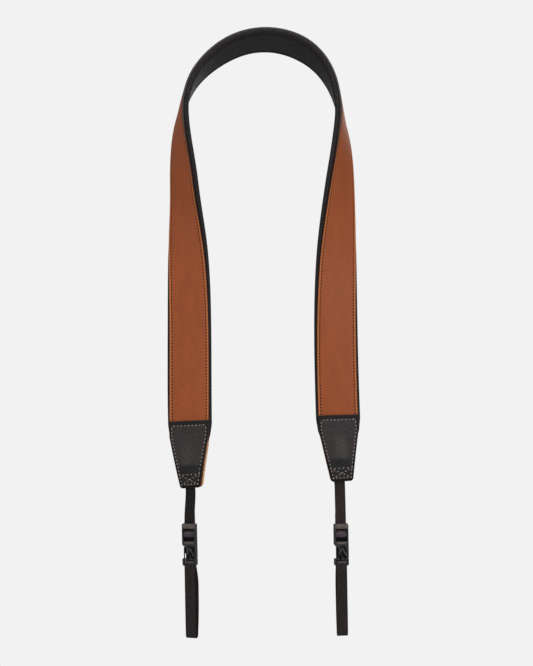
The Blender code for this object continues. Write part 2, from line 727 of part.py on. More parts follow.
def make_lug_loop(side, material, empty):
    """Closed loop of webbing round the plug's bar, for the camera's lug."""
    bar = loop_bar_top() - BAR_DEPTH / 2
    points = []
    across = []
    for depth, height in loop_route(side):
        share = min(max((bar - height) / (LOOP_TWIST_SHARE * LOOP_LENGTH[side]), 0.0), 1.0)
        ease = share * share * (3 - 2 * share)
        angle = SIDES[side] * radians(LOOP_TWIST[side]) * ease
        points.append((-depth * sin(angle), BUCKLE_MIDDLE + depth * cos(angle), height))
        across.append((cos(angle), sin(angle), 0.0))
    rings = strip_rings(points, across, WEBBING_WIDTH, WEBBING_THICKNESS, closed=True)
    item = make_object("lug_loop_" + side, loft("lug_loop", rings, closed=True), material, empty)
    item.location = (0.0, 0.0, -WEBBING_DROP[side])
    return item


def main():
    """Build the strap."""
    clear_scene()
    tan = make_material("tan_leather", (0.36, 0.13, 0.05), 0.5)
    dark = make_material("dark_leather", (0.035, 0.028, 0.026), 0.45)
    black = make_material("black_lining", (0.02, 0.02, 0.021), 0.75)
    weave = make_material("black_webbing", (0.025, 0.023, 0.023), 0.8)
    plastic = make_material("black_plastic", (0.04, 0.04, 0.042), 0.4)
    make_lining(black)
    make_leather_band(tan)
    for side in SIDES:
        empty = make_end_empty(side)
        make_front_tab(side, dark)
        make_back_tab(side, tan)
        make_webbing(side, weave, empty)
        make_socket(side, plastic, empty)
        make_plug(side, plastic, empty)
        make_lug_loop(side, weave, empty)
    bpy.context.view_layer.update()


main()
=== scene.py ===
"""Camera neck strap, finished: leather, padding, stitches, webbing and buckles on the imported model.

Metres, +Z up, -Y towards the viewer. The origin is on the lining's inner face at the crown.
"""

from collections import namedtuple
from math import cos, pi, radians, sin

import bmesh
import bpy
import numpy as np
from bpy.props import FloatProperty, FloatVectorProperty, IntProperty, PointerProperty
from mathutils import Matrix, Vector


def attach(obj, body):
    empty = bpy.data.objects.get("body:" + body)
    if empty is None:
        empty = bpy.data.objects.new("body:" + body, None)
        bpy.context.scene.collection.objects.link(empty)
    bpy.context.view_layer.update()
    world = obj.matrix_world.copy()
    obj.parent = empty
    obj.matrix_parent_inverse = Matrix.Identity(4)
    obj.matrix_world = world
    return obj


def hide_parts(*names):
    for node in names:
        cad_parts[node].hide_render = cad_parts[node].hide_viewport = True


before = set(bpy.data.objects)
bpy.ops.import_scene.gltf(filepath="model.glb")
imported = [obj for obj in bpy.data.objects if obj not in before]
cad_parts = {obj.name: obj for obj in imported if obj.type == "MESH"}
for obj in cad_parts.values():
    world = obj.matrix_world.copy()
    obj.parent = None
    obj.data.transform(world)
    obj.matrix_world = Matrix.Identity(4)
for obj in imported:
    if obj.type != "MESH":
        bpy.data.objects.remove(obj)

bl_info = {
    "name": "Camera Neck Strap",
    "version": (1, 0, 0),
    "blender": (4, 5, 0),
    "location": "3D View > Sidebar > Strap",
    "description": "Builds the finished surfaces of a leather camera neck strap",
    "category": "Object",
}

MM = 0.001
SIDES = {"left": -1, "right": 1}

# Band
HALF_LENGTH = {"left": 477.8 * MM, "right": 467 * MM}
LINING_WIDTH = 41.5 * MM
LINING_THICKNESS = 4.5 * MM
LINING_EDGE = 2.0 * MM
LEATHER_MARGIN = 2.2 * MM
LEATHER_WIDTH = LINING_WIDTH - 2 * LEATHER_MARGIN
LAYER_GAP = 0.3 * MM
SEAM_INSET = 2.5 * MM
LEATHER_INNER = -LINING_THICKNESS - LAYER_GAP
LEATHER_OUTER = LEATHER_INNER - 2.0 * MM
TAB_INNER = LEATHER_OUTER - LAYER_GAP
TAB_OUTER = TAB_INNER - 2.0 * MM

# End tabs
TAB_LENGTH = 61 * MM
TAB_SHOULDER = 14 * MM
TAB_FOOT_WIDTH = 20.2 * MM
TAB_CORNER = 2.5 * MM
BACK_TAB_LENGTH = 53 * MM
BACK_TAB_THICKNESS = 2.0 * MM
BACK_TAB_SPARE = {"left": 0.9 * MM, "right": 0.0}
LINING_STOP = 41 * MM
LINING_TAPER = 17 * MM
LINING_END_THICKNESS = 1.2 * MM

# Webbing
WEBBING_WIDTH = 10 * MM
WEBBING_THICKNESS = 1.3 * MM
HALF_WEBBING = WEBBING_THICKNESS / 2
WEBBING_TUCK = 36 * MM
WEBBING_DROP = {"left": 33.1 * MM, "right": 39.3 * MM}
WEBBING_OFFSET = {"left": -1.9 * MM, "right": -1.8 * MM}
WEBBING_TAIL = 9 * MM
POCKET_RAMP = 1.6 * MM
HARDWARE_TURN = {"left": 15.0, "right": 6.0}
HARDWARE_LEAN = {"left": 1.2, "right": 0.9}
HARDWARE_SHIFT = {"left": -1.8 * MM, "right": 0.3 * MM}

# Buckle, its heights measured down from its top
BUCKLE_WIDTH = 13.6 * MM
BUCKLE_DEPTH = 5.5 * MM
BUCKLE_RAIL = 1.5 * MM
TOP_BAR_HEIGHT = 4.9 * MM
TOP_BAR_DEPTH = 2.3 * MM
CENTRE_BAR_TOP = 7.7 * MM
CENTRE_BAR_HEIGHT = 3.1 * MM
BAR_DEPTH = 1.9 * MM
BUCKLE_LENGTH = 39.6 * MM
LOOP_BAR_TOP = -BUCKLE_LENGTH + 3.6 * MM
BUCKLE_FRONT = -HALF_WEBBING - LAYER_GAP - TOP_BAR_DEPTH
BUCKLE_MIDDLE = BUCKLE_FRONT + BUCKLE_DEPTH / 2
TAIL_LAYER = WEBBING_THICKNESS + LAYER_GAP
CENTRE_BAR_MIDDLE = TAIL_LAYER - HALF_WEBBING - LAYER_GAP - BAR_DEPTH / 2
WRAP_RADIUS = BAR_DEPTH / 2 + LAYER_GAP + HALF_WEBBING

# Lug loops
LOOP_LENGTH = {"left": 70.0 * MM, "right": 68.2 * MM}
LOOP_TWIST = {"left": 9.0, "right": 0.0}
LOOP_TWIST_SHARE = 0.25
LOOP_WIDEST = 6.4 * MM
LOOP_FOOT_RADIUS = 1.9 * MM
LOOP_FOOT_FLAT = 1.8 * MM
LOOP_FOOT_BACK = 0.8 * MM

# Cut edges, grooves and swells of the surfaces
SEAM_LINE = LEATHER_WIDTH / 2 - SEAM_INSET
LEATHER_BEVEL = 0.55 * MM
TAB_BEVEL = 0.6 * MM
BACK_TAB_BEVEL = 0.5 * MM
PAD_GROOVE = 1.9 * MM
LEATHER_GROOVE = 1.1 * MM
CROWN_FADE = 6 * MM
TAB_GROOVE = 0.9 * MM
TAB_GROOVE_DEPTH = 0.25 * MM
WEAVE_BED = 0.22 * MM
FOLD_DROOP = 0.25 * MM
FOLD_ROOT = 0.2 * MM
HOOK_FACE = BUCKLE_FRONT + 0.25 * MM
HOOK_ROOT = HOOK_FACE + 0.2 * MM
RIDGE_HEIGHT = 0.5 * MM
SHADE_LINE_HEIGHT = 0.25 * MM

# Heights above a tab's foot, where its face swells over the webbing and its back stands out
SWELL_FOOT = 13.5 * MM
SWELL_RISE = 8 * MM
SWELL_CREST = 25 * MM
SWELL_FALL = 21 * MM
SPARE_RISE = 4 * MM
SPARE_TOP = 36 * MM
SPARE_FALL = 6 * MM

# Seams: the tabs' as heights above their feet, and how high each kind of thread stands
SEAM_STEP = 1.5 * MM
TAB_BOX_FOOT = 3.4 * MM
TAB_BOX_TOP = 12.2 * MM
TAB_SEAM_TOP = TAB_LENGTH - 4.5 * MM
TAB_SEAM_TURN = 2.2 * MM
TAB_SEAM_DEPTH = TAB_OUTER + 0.12 * MM
THREAD_RISE = {"lining": 0.5 * MM, "band": 0.6 * MM, "tab": 0.75 * MM, "weave": 0.46 * MM}

# Distances between the rings of the tabs and of the webbing
TAB_RING = 1.0 * MM
WEBBING_RING = 0.8 * MM

# Angles past which an edge stays sharp, in degrees
CLOTH_SHARP = 50
BUCKLE_SHARP = 40

# Painted light, in millimetres: from the crown along the band a grey painted highlight on the
# leather's edge, and on a tab a painted shade and a painted highlight, up from its foot and across
CROWN_RIM_HIGHLIGHT = (170, 90)
CROWN_RIM_HIGHLIGHT_COLOUR = (0.045, 0.039, 0.038)
FOOT_SHADE = (22.5, 18.5)
TAB_HIGHLIGHT_RISE = (19, 25)
TAB_HIGHLIGHT_FALL = (50, 28)
TAB_HIGHLIGHT_REACH = (11, 1)

# Stage
BACKDROP = 0.888
FLOOR_TONE = 0.82
FLOOR_RADIUS = 2.0
FLOOR_HEIGHT = -1.15
ROOM_LIGHT = 0.32
CAMERA_PLACE = (1.2 * MM, -1500 * MM, -284.7 * MM)
CAMERA_LENS = 82.70
SENSOR_HEIGHT = 36.0

Form = namedtuple("Form", "share turn lean roll")
Swell = namedtuple("Swell", "share front rear")
Box = namedtuple("Box", "across depth height bevel")
Fold = namedtuple("Fold", "across height seat swell")
Lamp = namedtuple("Lamp", "name place aim size power")

# How the band hangs: heading, lean to the viewer and roll, in degrees, at shares of a half length
HANG = {
    "right": (
        Form(0.000, 0.0, 0.0, 19.5),
        Form(0.075, 29.5, 8.0, 18.5),
        Form(0.150, 60.5, 12.5, 8.0),
        Form(0.200, 75.5, 13.0, 0.0),
        Form(0.250, 84.0, 12.0, -7.5),
        Form(0.300, 89.0, 10.5, -20.0),
        Form(0.360, 92.5, 8.5, -33.0),
        Form(0.430, 92.5, 8.0, -46.0),
        Form(0.560, 91.0, 8.0, -70.0),
        Form(0.750, 89.0, 8.5, -88.0),
        Form(0.900, 88.0, 6.0, -89.5),
        Form(1.000, 86.5, 0.0, -83.0),
    ),
    "left": (
        Form(0.000, 0.0, 0.0, 19.5),
        Form(0.075, 29.0, 7.0, 16.5),
        Form(0.150, 51.5, 13.0, 7.0),
        Form(0.200, 70.5, 12.5, -1.5),
        Form(0.235, 80.0, 13.0, -7.5),
        Form(0.270, 87.0, 12.0, -16.0),
        Form(0.310, 92.0, 11.0, -25.0),
        Form(0.360, 94.0, 10.0, -34.0),
        Form(0.430, 93.0, 9.0, -43.0),
        Form(0.560, 91.5, 9.5, -71.5),
        Form(0.750, 90.5, 9.5, -87.5),
        Form(0.900, 92.5, 7.0, -80.5),
        Form(1.000, 96.0, 0.0, -66.0),
    ),
}

# The lug loop's layers: distances from the bar's middle over LOOP_WIDEST, at shares of its drop
LOOP_FORM = (
    Swell(0.08, 0.30, 0.62),
    Swell(0.22, 0.30, 0.95),
    Swell(0.45, 0.31, 1.00),
    Swell(0.80, 0.33, 0.80),
)

# Bars on a buckle with a painted highlight, where the top bar and the cross-bar catch light from
# above, in mm: limits across, behind its front and up from its top, and the bevel
BUCKLE_BARS = (
    Box((-6.2, 6.2), (-0.22, 0.20), (-4.7, -0.3), 0.20),
    Box((-4.3, 4.7), (-0.20, 0.20), (-19.1, -17.1), 0.18),
)

# Dark blocks inside a buckle, painted shade in its slot and windows that also closes gaps, in mm:
# limits across, in depth and up from its top
WINDOW_HALF = (BUCKLE_WIDTH / 2 - BUCKLE_RAIL) / MM
BUCKLE_SHADE_BLOCKS = (
    Box((-WINDOW_HALF, WINDOW_HALF), (-1.6, 1.9), (-16.4, -12.1), 0),
    Box((-4.6, 4.6), (1.4, 2.1), (-35.2, -33.2), 0),
    Box((-4.3, 4.8), (-1.5, -1.1), (-7.3, -5.0), 0),
    Box((4.2, 6.3), (0.8, 1.8), (-35.0, -31.4), 0),
)

# Folds of webbing in a buckle's windows, in mm: across, up from its top, seat and how far they swell
WINDOW_FOLDS = (
    Fold((-4.8, 4.8), (-13.2, -6.6), -1.3, 1.8),
    Fold((-4.5, 4.4), (-37.4, -34.8), -2.7, 0.8),
)

# Lines on a buckle's hook, in mm: places across and up from its top, and widths; the ridges stand out
# and carry a painted highlight, the other lines are low strips of painted shade
HOOK_RIDGES = (
    (((-3.4, -19.9), (-2.5, -21.6), (-1.6, -24.5), (-0.7, -27.5)), 0.8),
    (((0.5, -22.4), (2.0, -25.0), (3.2, -28.2), (4.7, -30.8)), 1.0),
)
HOOK_SHADE_LINES = (
    (((-1.3, -21.2), (-0.5, -21.1), (0.3, -21.3)), 1.7),
    (((0.6, -20.3), (2.7, -21.9), (3.8, -24.4), (4.1, -27.0)), 1.5),
    (((0.2, -26.0), (1.6, -29.0), (3.9, -33.0)), 2.4),
    (((-1.4, -28.5), (-1.0, -31.5), (-0.9, -34.0)), 2.6),
    (((-3.5, -21.5), (-3.4, -24.5), (-3.5, -28.0)), 1.7),
    (((-4.7, -22.0), (-4.7, -28.0), (-4.7, -34.0)), 1.0),
)

# Studio lights, in metres and watts
LAMPS = (
    Lamp("key", (0.9, -1.7, 0.55), (0.0, 0.0, -0.25), 1.4, 23.5),
    Lamp("fill", (-1.3, -1.5, -0.1), (0.0, 0.0, -0.3), 1.6, 11.0),
    Lamp("top", (0.0, -0.25, 1.3), (0.0, 0.0, -0.1), 1.1, 12.0),
    Lamp("behind", (0.3, 1.6, 0.4), (0.0, 0.0, -0.25), 1.4, 10.0),
    Lamp("low_right", (0.75, -0.9, -0.75), (0.1, 0.0, -0.42), 0.5, 1.0),
    Lamp("left_side", (-1.5, -0.3, 0.2), (-0.1, 0.0, -0.15), 0.8, 2.6),
    Lamp("right_side", (1.5, -0.3, 0.2), (0.1, 0.0, -0.15), 0.8, 2.6),
)


class StrapSizes(bpy.types.PropertyGroup):
    """Sizes of the surface work, all in metres unless they say otherwise."""

    ring_step: FloatProperty(
        name="Ring Step", description="Distance between the rings of the band's meshes",
        default=2.0 * MM, min=0.5 * MM, unit="LENGTH")
    seam_depth: FloatProperty(
        name="Seam Depth", description="How far the stitches pull the leather in",
        default=0.3 * MM, min=0.0, unit="LENGTH")
    leather_crown: FloatProperty(
        name="Leather Crown", description="How far the leather swells between its seams",
        default=0.5 * MM, min=0.0, unit="LENGTH")
    pad_crown: FloatProperty(
        name="Pad Crown", description="How far the padding swells between its seams",
        default=0.7 * MM, min=0.0, unit="LENGTH")
    pad_seam: FloatProperty(
        name="Pad Seam", description="How far the seams pull the padding in",
        default=0.8 * MM, min=0.0, unit="LENGTH")
    band_pitch: FloatProperty(
        name="Band Stitch Pitch", description="Distance between the band's stitches",
        default=3.0 * MM, min=1.0 * MM, unit="LENGTH")
    band_stitch: FloatProperty(
        name="Band Stitch Length", description="Length of a stitch that shows on the band",
        default=1.7 * MM, min=0.5 * MM, unit="LENGTH")
    tab_pitch: FloatProperty(
        name="Tab Stitch Pitch", description="Distance between the tabs' stitches",
        default=3.3 * MM, min=1.0 * MM, unit="LENGTH")
    tab_stitch: FloatProperty(
        name="Tab Stitch Length", description="Length of a stitch that shows on a tab",
        default=1.7 * MM, min=0.5 * MM, unit="LENGTH")
    tab_seam_inset: FloatProperty(
        name="Tab Seam Inset", description="From a tab's edge to its line of stitches",
        default=2.4 * MM, min=1.0 * MM, unit="LENGTH")
    band_thread_width: FloatProperty(
        name="Band Thread Width", description="Width of the band's sewing thread",
        default=1.55 * MM, min=0.2 * MM, unit="LENGTH")
    tab_thread_width: FloatProperty(
        name="Tab Thread Width", description="Width of the tabs' sewing thread",
        default=1.05 * MM, min=0.2 * MM, unit="LENGTH")
    tab_swell: FloatProperty(
        name="Tab Swell", description="How far a tab swells over the webbing inside it",
        default=1.3 * MM, min=0.0, unit="LENGTH")
    weave_pitch: FloatProperty(
        name="Weave Pitch", description="Distance between the ribs of the webbing",
        default=1.05 * MM, min=0.4 * MM, unit="LENGTH")
    weave_columns: IntProperty(
        name="Weave Columns", description="Warp threads across the face of the webbing",
        default=13, min=5, max=21)
    selvedge: FloatProperty(
        name="Selvedge", description="Width of the webbing's plain edge",
        default=0.9 * MM, min=0.2 * MM, unit="LENGTH")


class StrapColours(bpy.types.PropertyGroup):
    """Colours of the strap's finishes."""

    tan: FloatVectorProperty(
        name="Tan Leather", description="Face of the band", subtype="COLOR",
        default=(0.240, 0.053, 0.0112), min=0.0, max=1.0)
    tan_edge: FloatVectorProperty(
        name="Tan Margin", description="Leather outside the band's stitches", subtype="COLOR",
        default=(0.345, 0.100, 0.024), min=0.0, max=1.0)
    # Partly the tan leather's own colour and partly a painted highlight on the back tab's edge that
    # shows
    lit_backing_edge: FloatVectorProperty(
        name="Backing", description="Tan leather of the tabs' backs", subtype="COLOR",
        default=(0.72, 0.42, 0.23), min=0.0, max=1.0)
    dark: FloatVectorProperty(
        name="Dark Leather", description="Face of the end tabs", subtype="COLOR",
        default=(0.0125, 0.0095, 0.009), min=0.0, max=1.0)
    lining: FloatVectorProperty(
        name="Lining", description="Cover of the padding", subtype="COLOR",
        default=(0.0075, 0.0060, 0.0057), min=0.0, max=1.0)
    webbing: FloatVectorProperty(
        name="Webbing", description="Webbing and lug loops", subtype="COLOR",
        default=(0.0115, 0.0085, 0.0080), min=0.0, max=1.0)
    plastic: FloatVectorProperty(
        name="Plastic", description="Buckles", subtype="COLOR",
        default=(0.0085, 0.0078, 0.0080), min=0.0, max=1.0)
    band_thread: FloatVectorProperty(
        name="Band Thread", description="Stitches of the band", subtype="COLOR",
        default=(0.005, 0.003, 0.003), min=0.0, max=1.0)
    tab_thread: FloatVectorProperty(
        name="Tab Thread", description="Stitches of the end tabs", subtype="COLOR",
        default=(0.26, 0.20, 0.185), min=0.0, max=1.0)


# Shapes


def smooth_curve(places, values, wanted):
    """Read a smooth curve through a short table of values."""
    places = np.asarray(places, float)
    values = np.asarray(values, float)
    wanted = np.asarray(wanted, float)
    step = np.diff(places)
    rise = np.diff(values) / step
    slope = np.empty(len(places))
    slope[0] = rise[0]
    slope[-1] = rise[-1]
    slope[1:-1] = (rise[:-1] * step[1:] + rise[1:] * step[:-1]) / (step[1:] + step[:-1])
    index = np.clip(np.searchsorted(places, wanted, side="right") - 1, 0, len(places) - 2)
    h = step[index]
    t = (wanted - places[index]) / h
    return (
        (2 * t**3 - 3 * t**2 + 1) * values[index]
        + (t**3 - 2 * t**2 + t) * h * slope[index]
        + (3 * t**2 - 2 * t**3) * values[index + 1]
        + (t**3 - t**2) * h * slope[index + 1]
    )


def ease(value):
    """Smooth step from 0 to 1."""
    value = np.clip(value, 0.0, 1.0)
    return value * value * (3 - 2 * value)


def hang_directions(side, shares):
    """The band's run, its width and its inner normal at shares of a half length."""
    rows = HANG[side]
    places = [row.share for row in rows]
    turn = np.radians(smooth_curve(places, [row.turn for row in rows], shares))
    lean = np.radians(smooth_curve(places, [row.lean for row in rows], shares))
    roll = np.radians(smooth_curve(places, [row.roll for row in rows], shares))
    hand = SIDES[side]
    flat = np.zeros_like(turn)
    ahead = np.stack([hand * np.cos(turn), flat, -np.sin(turn)], axis=1)
    outward = np.stack([hand * np.sin(turn), flat, np.cos(turn)], axis=1)
    viewer = np.array([0.0, -1.0, 0.0])
    run = np.cos(lean)[:, None] * ahead + np.sin(lean)[:, None] * viewer
    forward = np.cos(lean)[:, None] * viewer - np.sin(lean)[:, None] * ahead
    width = np.cos(roll)[:, None] * forward + np.sin(roll)[:, None] * outward
    inner = np.sin(roll)[:, None] * forward - np.cos(roll)[:, None] * outward
    return run, width, inner


def hang_path(side):
    """Distances along a half band and the points of its inner face's middle."""
    shares = np.linspace(0.0, 1.0, 1200)
    run = hang_directions(side, shares)[0]
    distances = shares * HALF_LENGTH[side]
    steps = 0.5 * (run[1:] + run[:-1]) * np.diff(distances)[:, None]
    return distances, np.vstack([np.zeros(3), np.cumsum(steps, axis=0)])


PATHS = {side: hang_path(side) for side in SIDES}


def band_frames(side, stations):
    """Centres, runs, widths and inner normals at distances from the crown."""
    distances, points = PATHS[side]
    centre = np.stack([np.interp(stations, distances, points[:, i]) for i in range(3)], axis=1)
    return (centre, *hang_directions(side, np.asarray(stations) / HALF_LENGTH[side]))


def on_band(side, stations, across, depth):
    """Points on the band from station, across and depth arrays, one row to a station."""
    centre, _run, width, inner = band_frames(side, stations)
    across = np.broadcast_to(across, (len(stations), np.shape(across)[-1]))
    depth = np.broadcast_to(depth, across.shape)
    return centre[:, None] + across[..., None] * width[:, None] + depth[..., None] * inner[:, None]


def tab_half_width(height):
    """Half the tab's width at heights above its foot."""
    taper = TAB_LENGTH - TAB_SHOULDER
    spread = (LEATHER_WIDTH - TAB_FOOT_WIDTH) / 2
    half = TAB_FOOT_WIDTH / 2 + np.minimum(height / taper, 1.0) * spread
    rest = np.clip(TAB_CORNER - height, 0.0, TAB_CORNER)
    return half - (TAB_CORNER - np.sqrt(TAB_CORNER**2 - rest**2))


def foot_heights(top, step):
    """Heights above a tab's foot, close together round its corners."""
    corner = TAB_CORNER * (1 - np.cos(np.linspace(0, pi / 2, 9)))
    count = int(round((top - TAB_CORNER) / step))
    return np.concatenate([corner, np.linspace(TAB_CORNER, top, count + 1)[1:]])


def lining_share(height):
    """0 where the lining stops behind the tab, 1 on the full band."""
    return np.clip((height - LINING_STOP) / LINING_TAPER, 0.0, 1.0)


def lining_thickness(height):
    """The lining's thickness at heights above the tab's foot."""
    gain = (LINING_THICKNESS - LINING_END_THICKNESS) * ease(lining_share(height))
    return LINING_END_THICKNESS + gain


def dip(value, centre, width):
    """A round groove, 1 in its middle and 0 past its width."""
    return ease(1 - np.abs(value - centre) / width)


def lining_section(sizes, height):
    """Cross-sections of the padding: round edges, and a face drawn in at the seams."""
    height = height[:, None]
    share = lining_share(height)
    half = np.minimum(LEATHER_WIDTH / 2, tab_half_width(height)) + LEATHER_MARGIN * share
    thick = lining_thickness(height)
    middle = -LINING_THICKNESS + thick / 2
    angle = np.linspace(pi / 2, -pi / 2, 13)[None]
    reach = half - LINING_EDGE
    edge = half - LINING_EDGE * (1 - np.cos(angle))
    edge_depth = middle + thick / 2 * np.sin(angle)
    shares = np.array([0.94, 0.90, 0.87, 0.84, 0.81, 0.78, 0.75, 0.71, 0.62, 0.45, 0.25, 0.0])
    shares = np.concatenate([-shares, shares[-2::-1]])[None]
    face = shares * reach
    live = share**2
    inside = np.clip(1 - (face / SEAM_LINE) ** 2, 0.0, 1.0)
    swell = sizes.pad_crown * inside**0.6 * live
    groove = sizes.pad_seam * dip(np.abs(face), SEAM_LINE, PAD_GROOVE) * live
    top = middle + thick / 2 + swell - groove
    outer = np.broadcast_to(np.array([[0.6, 0.2, -0.2, -0.6]]) * reach, (len(height), 4))
    across = np.concatenate([edge, outer, -edge[:, ::-1], face], axis=1)
    flat = np.broadcast_to(middle - thick / 2, outer.shape)
    depth = np.concatenate([edge_depth, flat, edge_depth[:, ::-1], top], axis=1)
    return across, depth


def leather_section(sizes, height):
    """Cross-sections of the leather: a crowned face, seam grooves and round cut edges."""
    height = height[:, None]
    half = np.minimum(LEATHER_WIDTH / 2, tab_half_width(height))
    bevel = LEATHER_BEVEL
    angle = np.linspace(0, pi / 2, 4)[None]
    live = ease((height - TAB_LENGTH) / CROWN_FADE + 1)
    outer_edge = half - bevel * (1 - np.sin(angle[:, ::-1]))
    outer_depth = LEATHER_OUTER + bevel * (1 - np.cos(angle[:, ::-1]))
    shares = np.array([1.0, 0.96, 0.92, 0.895, 0.87, 0.855, 0.84, 0.82, 0.79, 0.7, 0.55, 0.35, 0.15])
    shares = np.concatenate([shares, [0.0], -shares[::-1]])[None]
    face = shares * (half - bevel)
    crown = sizes.leather_crown * np.clip(1 - (face / SEAM_LINE) ** 2, 0.0, 1.0) ** 0.7
    groove = sizes.seam_depth * dip(np.abs(face), SEAM_LINE, LEATHER_GROOVE)
    face_depth = LEATHER_OUTER - live * (crown - groove)
    inner_edge = half - bevel * (1 - np.cos(angle))
    inner_depth = np.broadcast_to(LEATHER_INNER - bevel * (1 - np.sin(angle)), outer_edge.shape)
    outer_depth = np.broadcast_to(outer_depth, outer_edge.shape)
    across = np.concatenate(
        [inner_edge[:, ::-1], outer_edge[:, :-1], face, -outer_edge[:, -2::-1], -inner_edge], axis=1)
    depth = np.concatenate(
        [inner_depth[:, ::-1], outer_depth[:, :-1], face_depth, outer_depth[:, -2::-1], inner_depth],
        axis=1)
    return across, depth


def tab_section(sizes, side, height):
    """Cross-sections of a front tab, swollen over the webbing that it holds."""
    height = height[:, None]
    half = tab_half_width(height)
    bevel = TAB_BEVEL
    angle = np.linspace(0, pi / 2, 4)[None]
    shift = -SIDES[side] * WEBBING_OFFSET[side]
    end = np.minimum(height, TAB_LENGTH - height)
    rest = np.clip(bevel - end, 0.0, bevel)
    drop = bevel - np.sqrt(bevel**2 - rest**2)
    outer_edge = half - bevel * (1 - np.sin(angle[:, ::-1]))
    outer_depth = TAB_OUTER + drop + bevel * (1 - np.cos(angle[:, ::-1])) * (1 - drop / bevel)
    shares = np.array([1.0, 0.95, 0.9, 0.86, 0.82, 0.78, 0.72, 0.6, 0.48, 0.36, 0.24, 0.12])
    shares = np.concatenate([shares, [0.0], -shares[::-1]])[None]
    face = shares * (half - bevel)
    over = 1 - ease((np.abs(face - shift) - WEBBING_WIDTH * 0.35) / (WEBBING_WIDTH * 0.42))
    rise = ease((height - SWELL_FOOT) / SWELL_RISE)
    rise = rise * (1 - ease((height - SWELL_CREST) / SWELL_FALL))
    groove = TAB_GROOVE_DEPTH * dip(np.abs(face), half - sizes.tab_seam_inset, TAB_GROOVE)
    face_depth = TAB_OUTER + drop - sizes.tab_swell * over * rise + groove
    inner_edge = np.concatenate([half - bevel / 2, half], axis=1)
    inner_depth = np.broadcast_to(np.array([[TAB_INNER, TAB_INNER - bevel / 2]]), inner_edge.shape)
    across = np.concatenate(
        [inner_edge, outer_edge[:, :-1], face, -outer_edge[:, -2::-1], -inner_edge[:, ::-1]], axis=1)
    depth = np.concatenate(
        [inner_depth, outer_depth[:, :-1], face_depth, outer_depth[:, -2::-1], inner_depth[:, ::-1]],
        axis=1)
    return across, depth


def back_tab_section(side, height):
    """Cross-sections of a back tab, which lies behind the leather and swells over the webbing."""
    height = height[:, None]
    half = tab_half_width(height)
    shift = -SIDES[side] * WEBBING_OFFSET[side]
    seat = -LINING_THICKNESS
    over_webbing = seat + WEBBING_THICKNESS + LAYER_GAP
    over_lining = seat + lining_thickness(height) + LAYER_GAP
    share = np.clip((height - WEBBING_TUCK) / (LINING_STOP - WEBBING_TUCK), 0.0, 1.0)
    edge = seat + share * (over_lining - seat)
    middle = over_webbing + share * (over_lining - over_webbing)
    room = half - LAYER_GAP - abs(shift)
    crest = np.minimum(WEBBING_WIDTH / 2 + 2 * LAYER_GAP, room - LAYER_GAP)
    foot = np.minimum(crest + POCKET_RAMP, room)
    spare = ease(height / SPARE_RISE) * (1 - ease((height - SPARE_TOP) / SPARE_FALL))
    grid = np.linspace(-1, 1, 29)[None]
    half = half + np.where(grid > 0, BACK_TAB_SPARE[side] * spare, 0.0)
    grid = grid * half
    rise = ease((foot - np.abs(grid - shift)) / (foot - crest))
    lower = edge + (middle - edge) * rise
    bevel = BACK_TAB_BEVEL
    rest = bevel - np.clip(half - np.abs(grid), 0.0, bevel)
    upper = lower + BACK_TAB_THICKNESS - (bevel - np.sqrt(bevel**2 - rest**2))
    across = np.concatenate([grid, grid[:, ::-1]], axis=1)
    depth = np.concatenate([lower, upper[:, ::-1]], axis=1)
    return across, depth


def band_grid(section, stop, step):
    """Rings of a strip over the crown, with each point's across, along and depth."""
    grids, places = [], []
    for side in ("left", "right"):
        low = foot_heights(TAB_LENGTH, step) if stop == 0 else np.linspace(stop, TAB_LENGTH, 21)
        reach = HALF_LENGTH[side] - TAB_LENGTH
        count = int(round(reach / step))
        run = np.concatenate([np.linspace(0, reach, count + 1), HALF_LENGTH[side] - low[-2::-1]])
        across, depth = section(HALF_LENGTH[side] - run)
        points = on_band(side, run, across, depth)
        place = np.stack([across, np.broadcast_to(SIDES[side] * run[:, None], across.shape), depth],
                         axis=2)
        if side == "left":
            points, place = points[:0:-1], place[:0:-1]
        grids.append(points)
        places.append(place)
    return np.vstack(grids), np.vstack(places)


def end_grid(side, section, top, step):
    """Rings of a tab from its top down to its foot, with each point's place."""
    height = foot_heights(top, step)[::-1]
    edges = np.array([top - 0.05 * MM, top - 0.2 * MM, top - 0.4 * MM])
    height = np.sort(np.concatenate([height, edges]))[::-1]
    across, depth = section(height)
    points = on_band(side, HALF_LENGTH[side] - height, across, depth)
    place = np.stack([across, np.broadcast_to(height[:, None], across.shape), depth], axis=2)
    return points, place


# Meshes


def show(name, data):
    """Put an object with its data into the scene."""
    item = bpy.data.objects.new(name, data)
    bpy.context.scene.collection.objects.link(item)
    return item


def dress(name, shape, mesh, finish, sharp):
    """Turn a shape into a finished object, smooth but for its sharp edges."""
    bmesh.ops.recalc_face_normals(shape, faces=shape.faces)
    shape.to_mesh(mesh)
    shape.free()
    mesh.materials.append(finish)
    mesh.shade_smooth()
    mesh.set_sharp_from_angle(angle=radians(sharp))
    return show(name, mesh)


def skin(name, points, place, finish, closed=False):
    """Make an object from rings of points, with the place of each point in millimetres."""
    rings, count = points.shape[:2]
    mesh = bpy.data.meshes.new(name)
    order = np.arange(rings * count).reshape(rings, count)
    last = rings if closed else rings - 1
    near = order[:last]
    far = np.roll(order, -1, axis=0)[:last]
    faces = np.stack([near, np.roll(near, -1, axis=1), np.roll(far, -1, axis=1), far], axis=2)
    faces = faces.reshape(-1, 4).tolist()
    if not closed:
        faces += [order[0][::-1].tolist(), order[-1].tolist()]
    mesh.from_pydata(points.reshape(-1, 3).tolist(), [], faces)
    layer = mesh.attributes.new("place_mm", "FLOAT_VECTOR", "POINT")
    layer.data.foreach_set("vector", (place / MM).astype(np.float32).ravel())
    shape = bmesh.new()
    shape.from_mesh(mesh)
    return dress(name, shape, mesh, finish, CLOTH_SHARP)


def ride_as(piece, slot, *nodes):
    """Tie a finished piece to the strap's body, and hide the nodes that it stands for. Its slot is
    not used.
    """
    if nodes:
        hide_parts(*nodes)
    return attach(piece, "root")


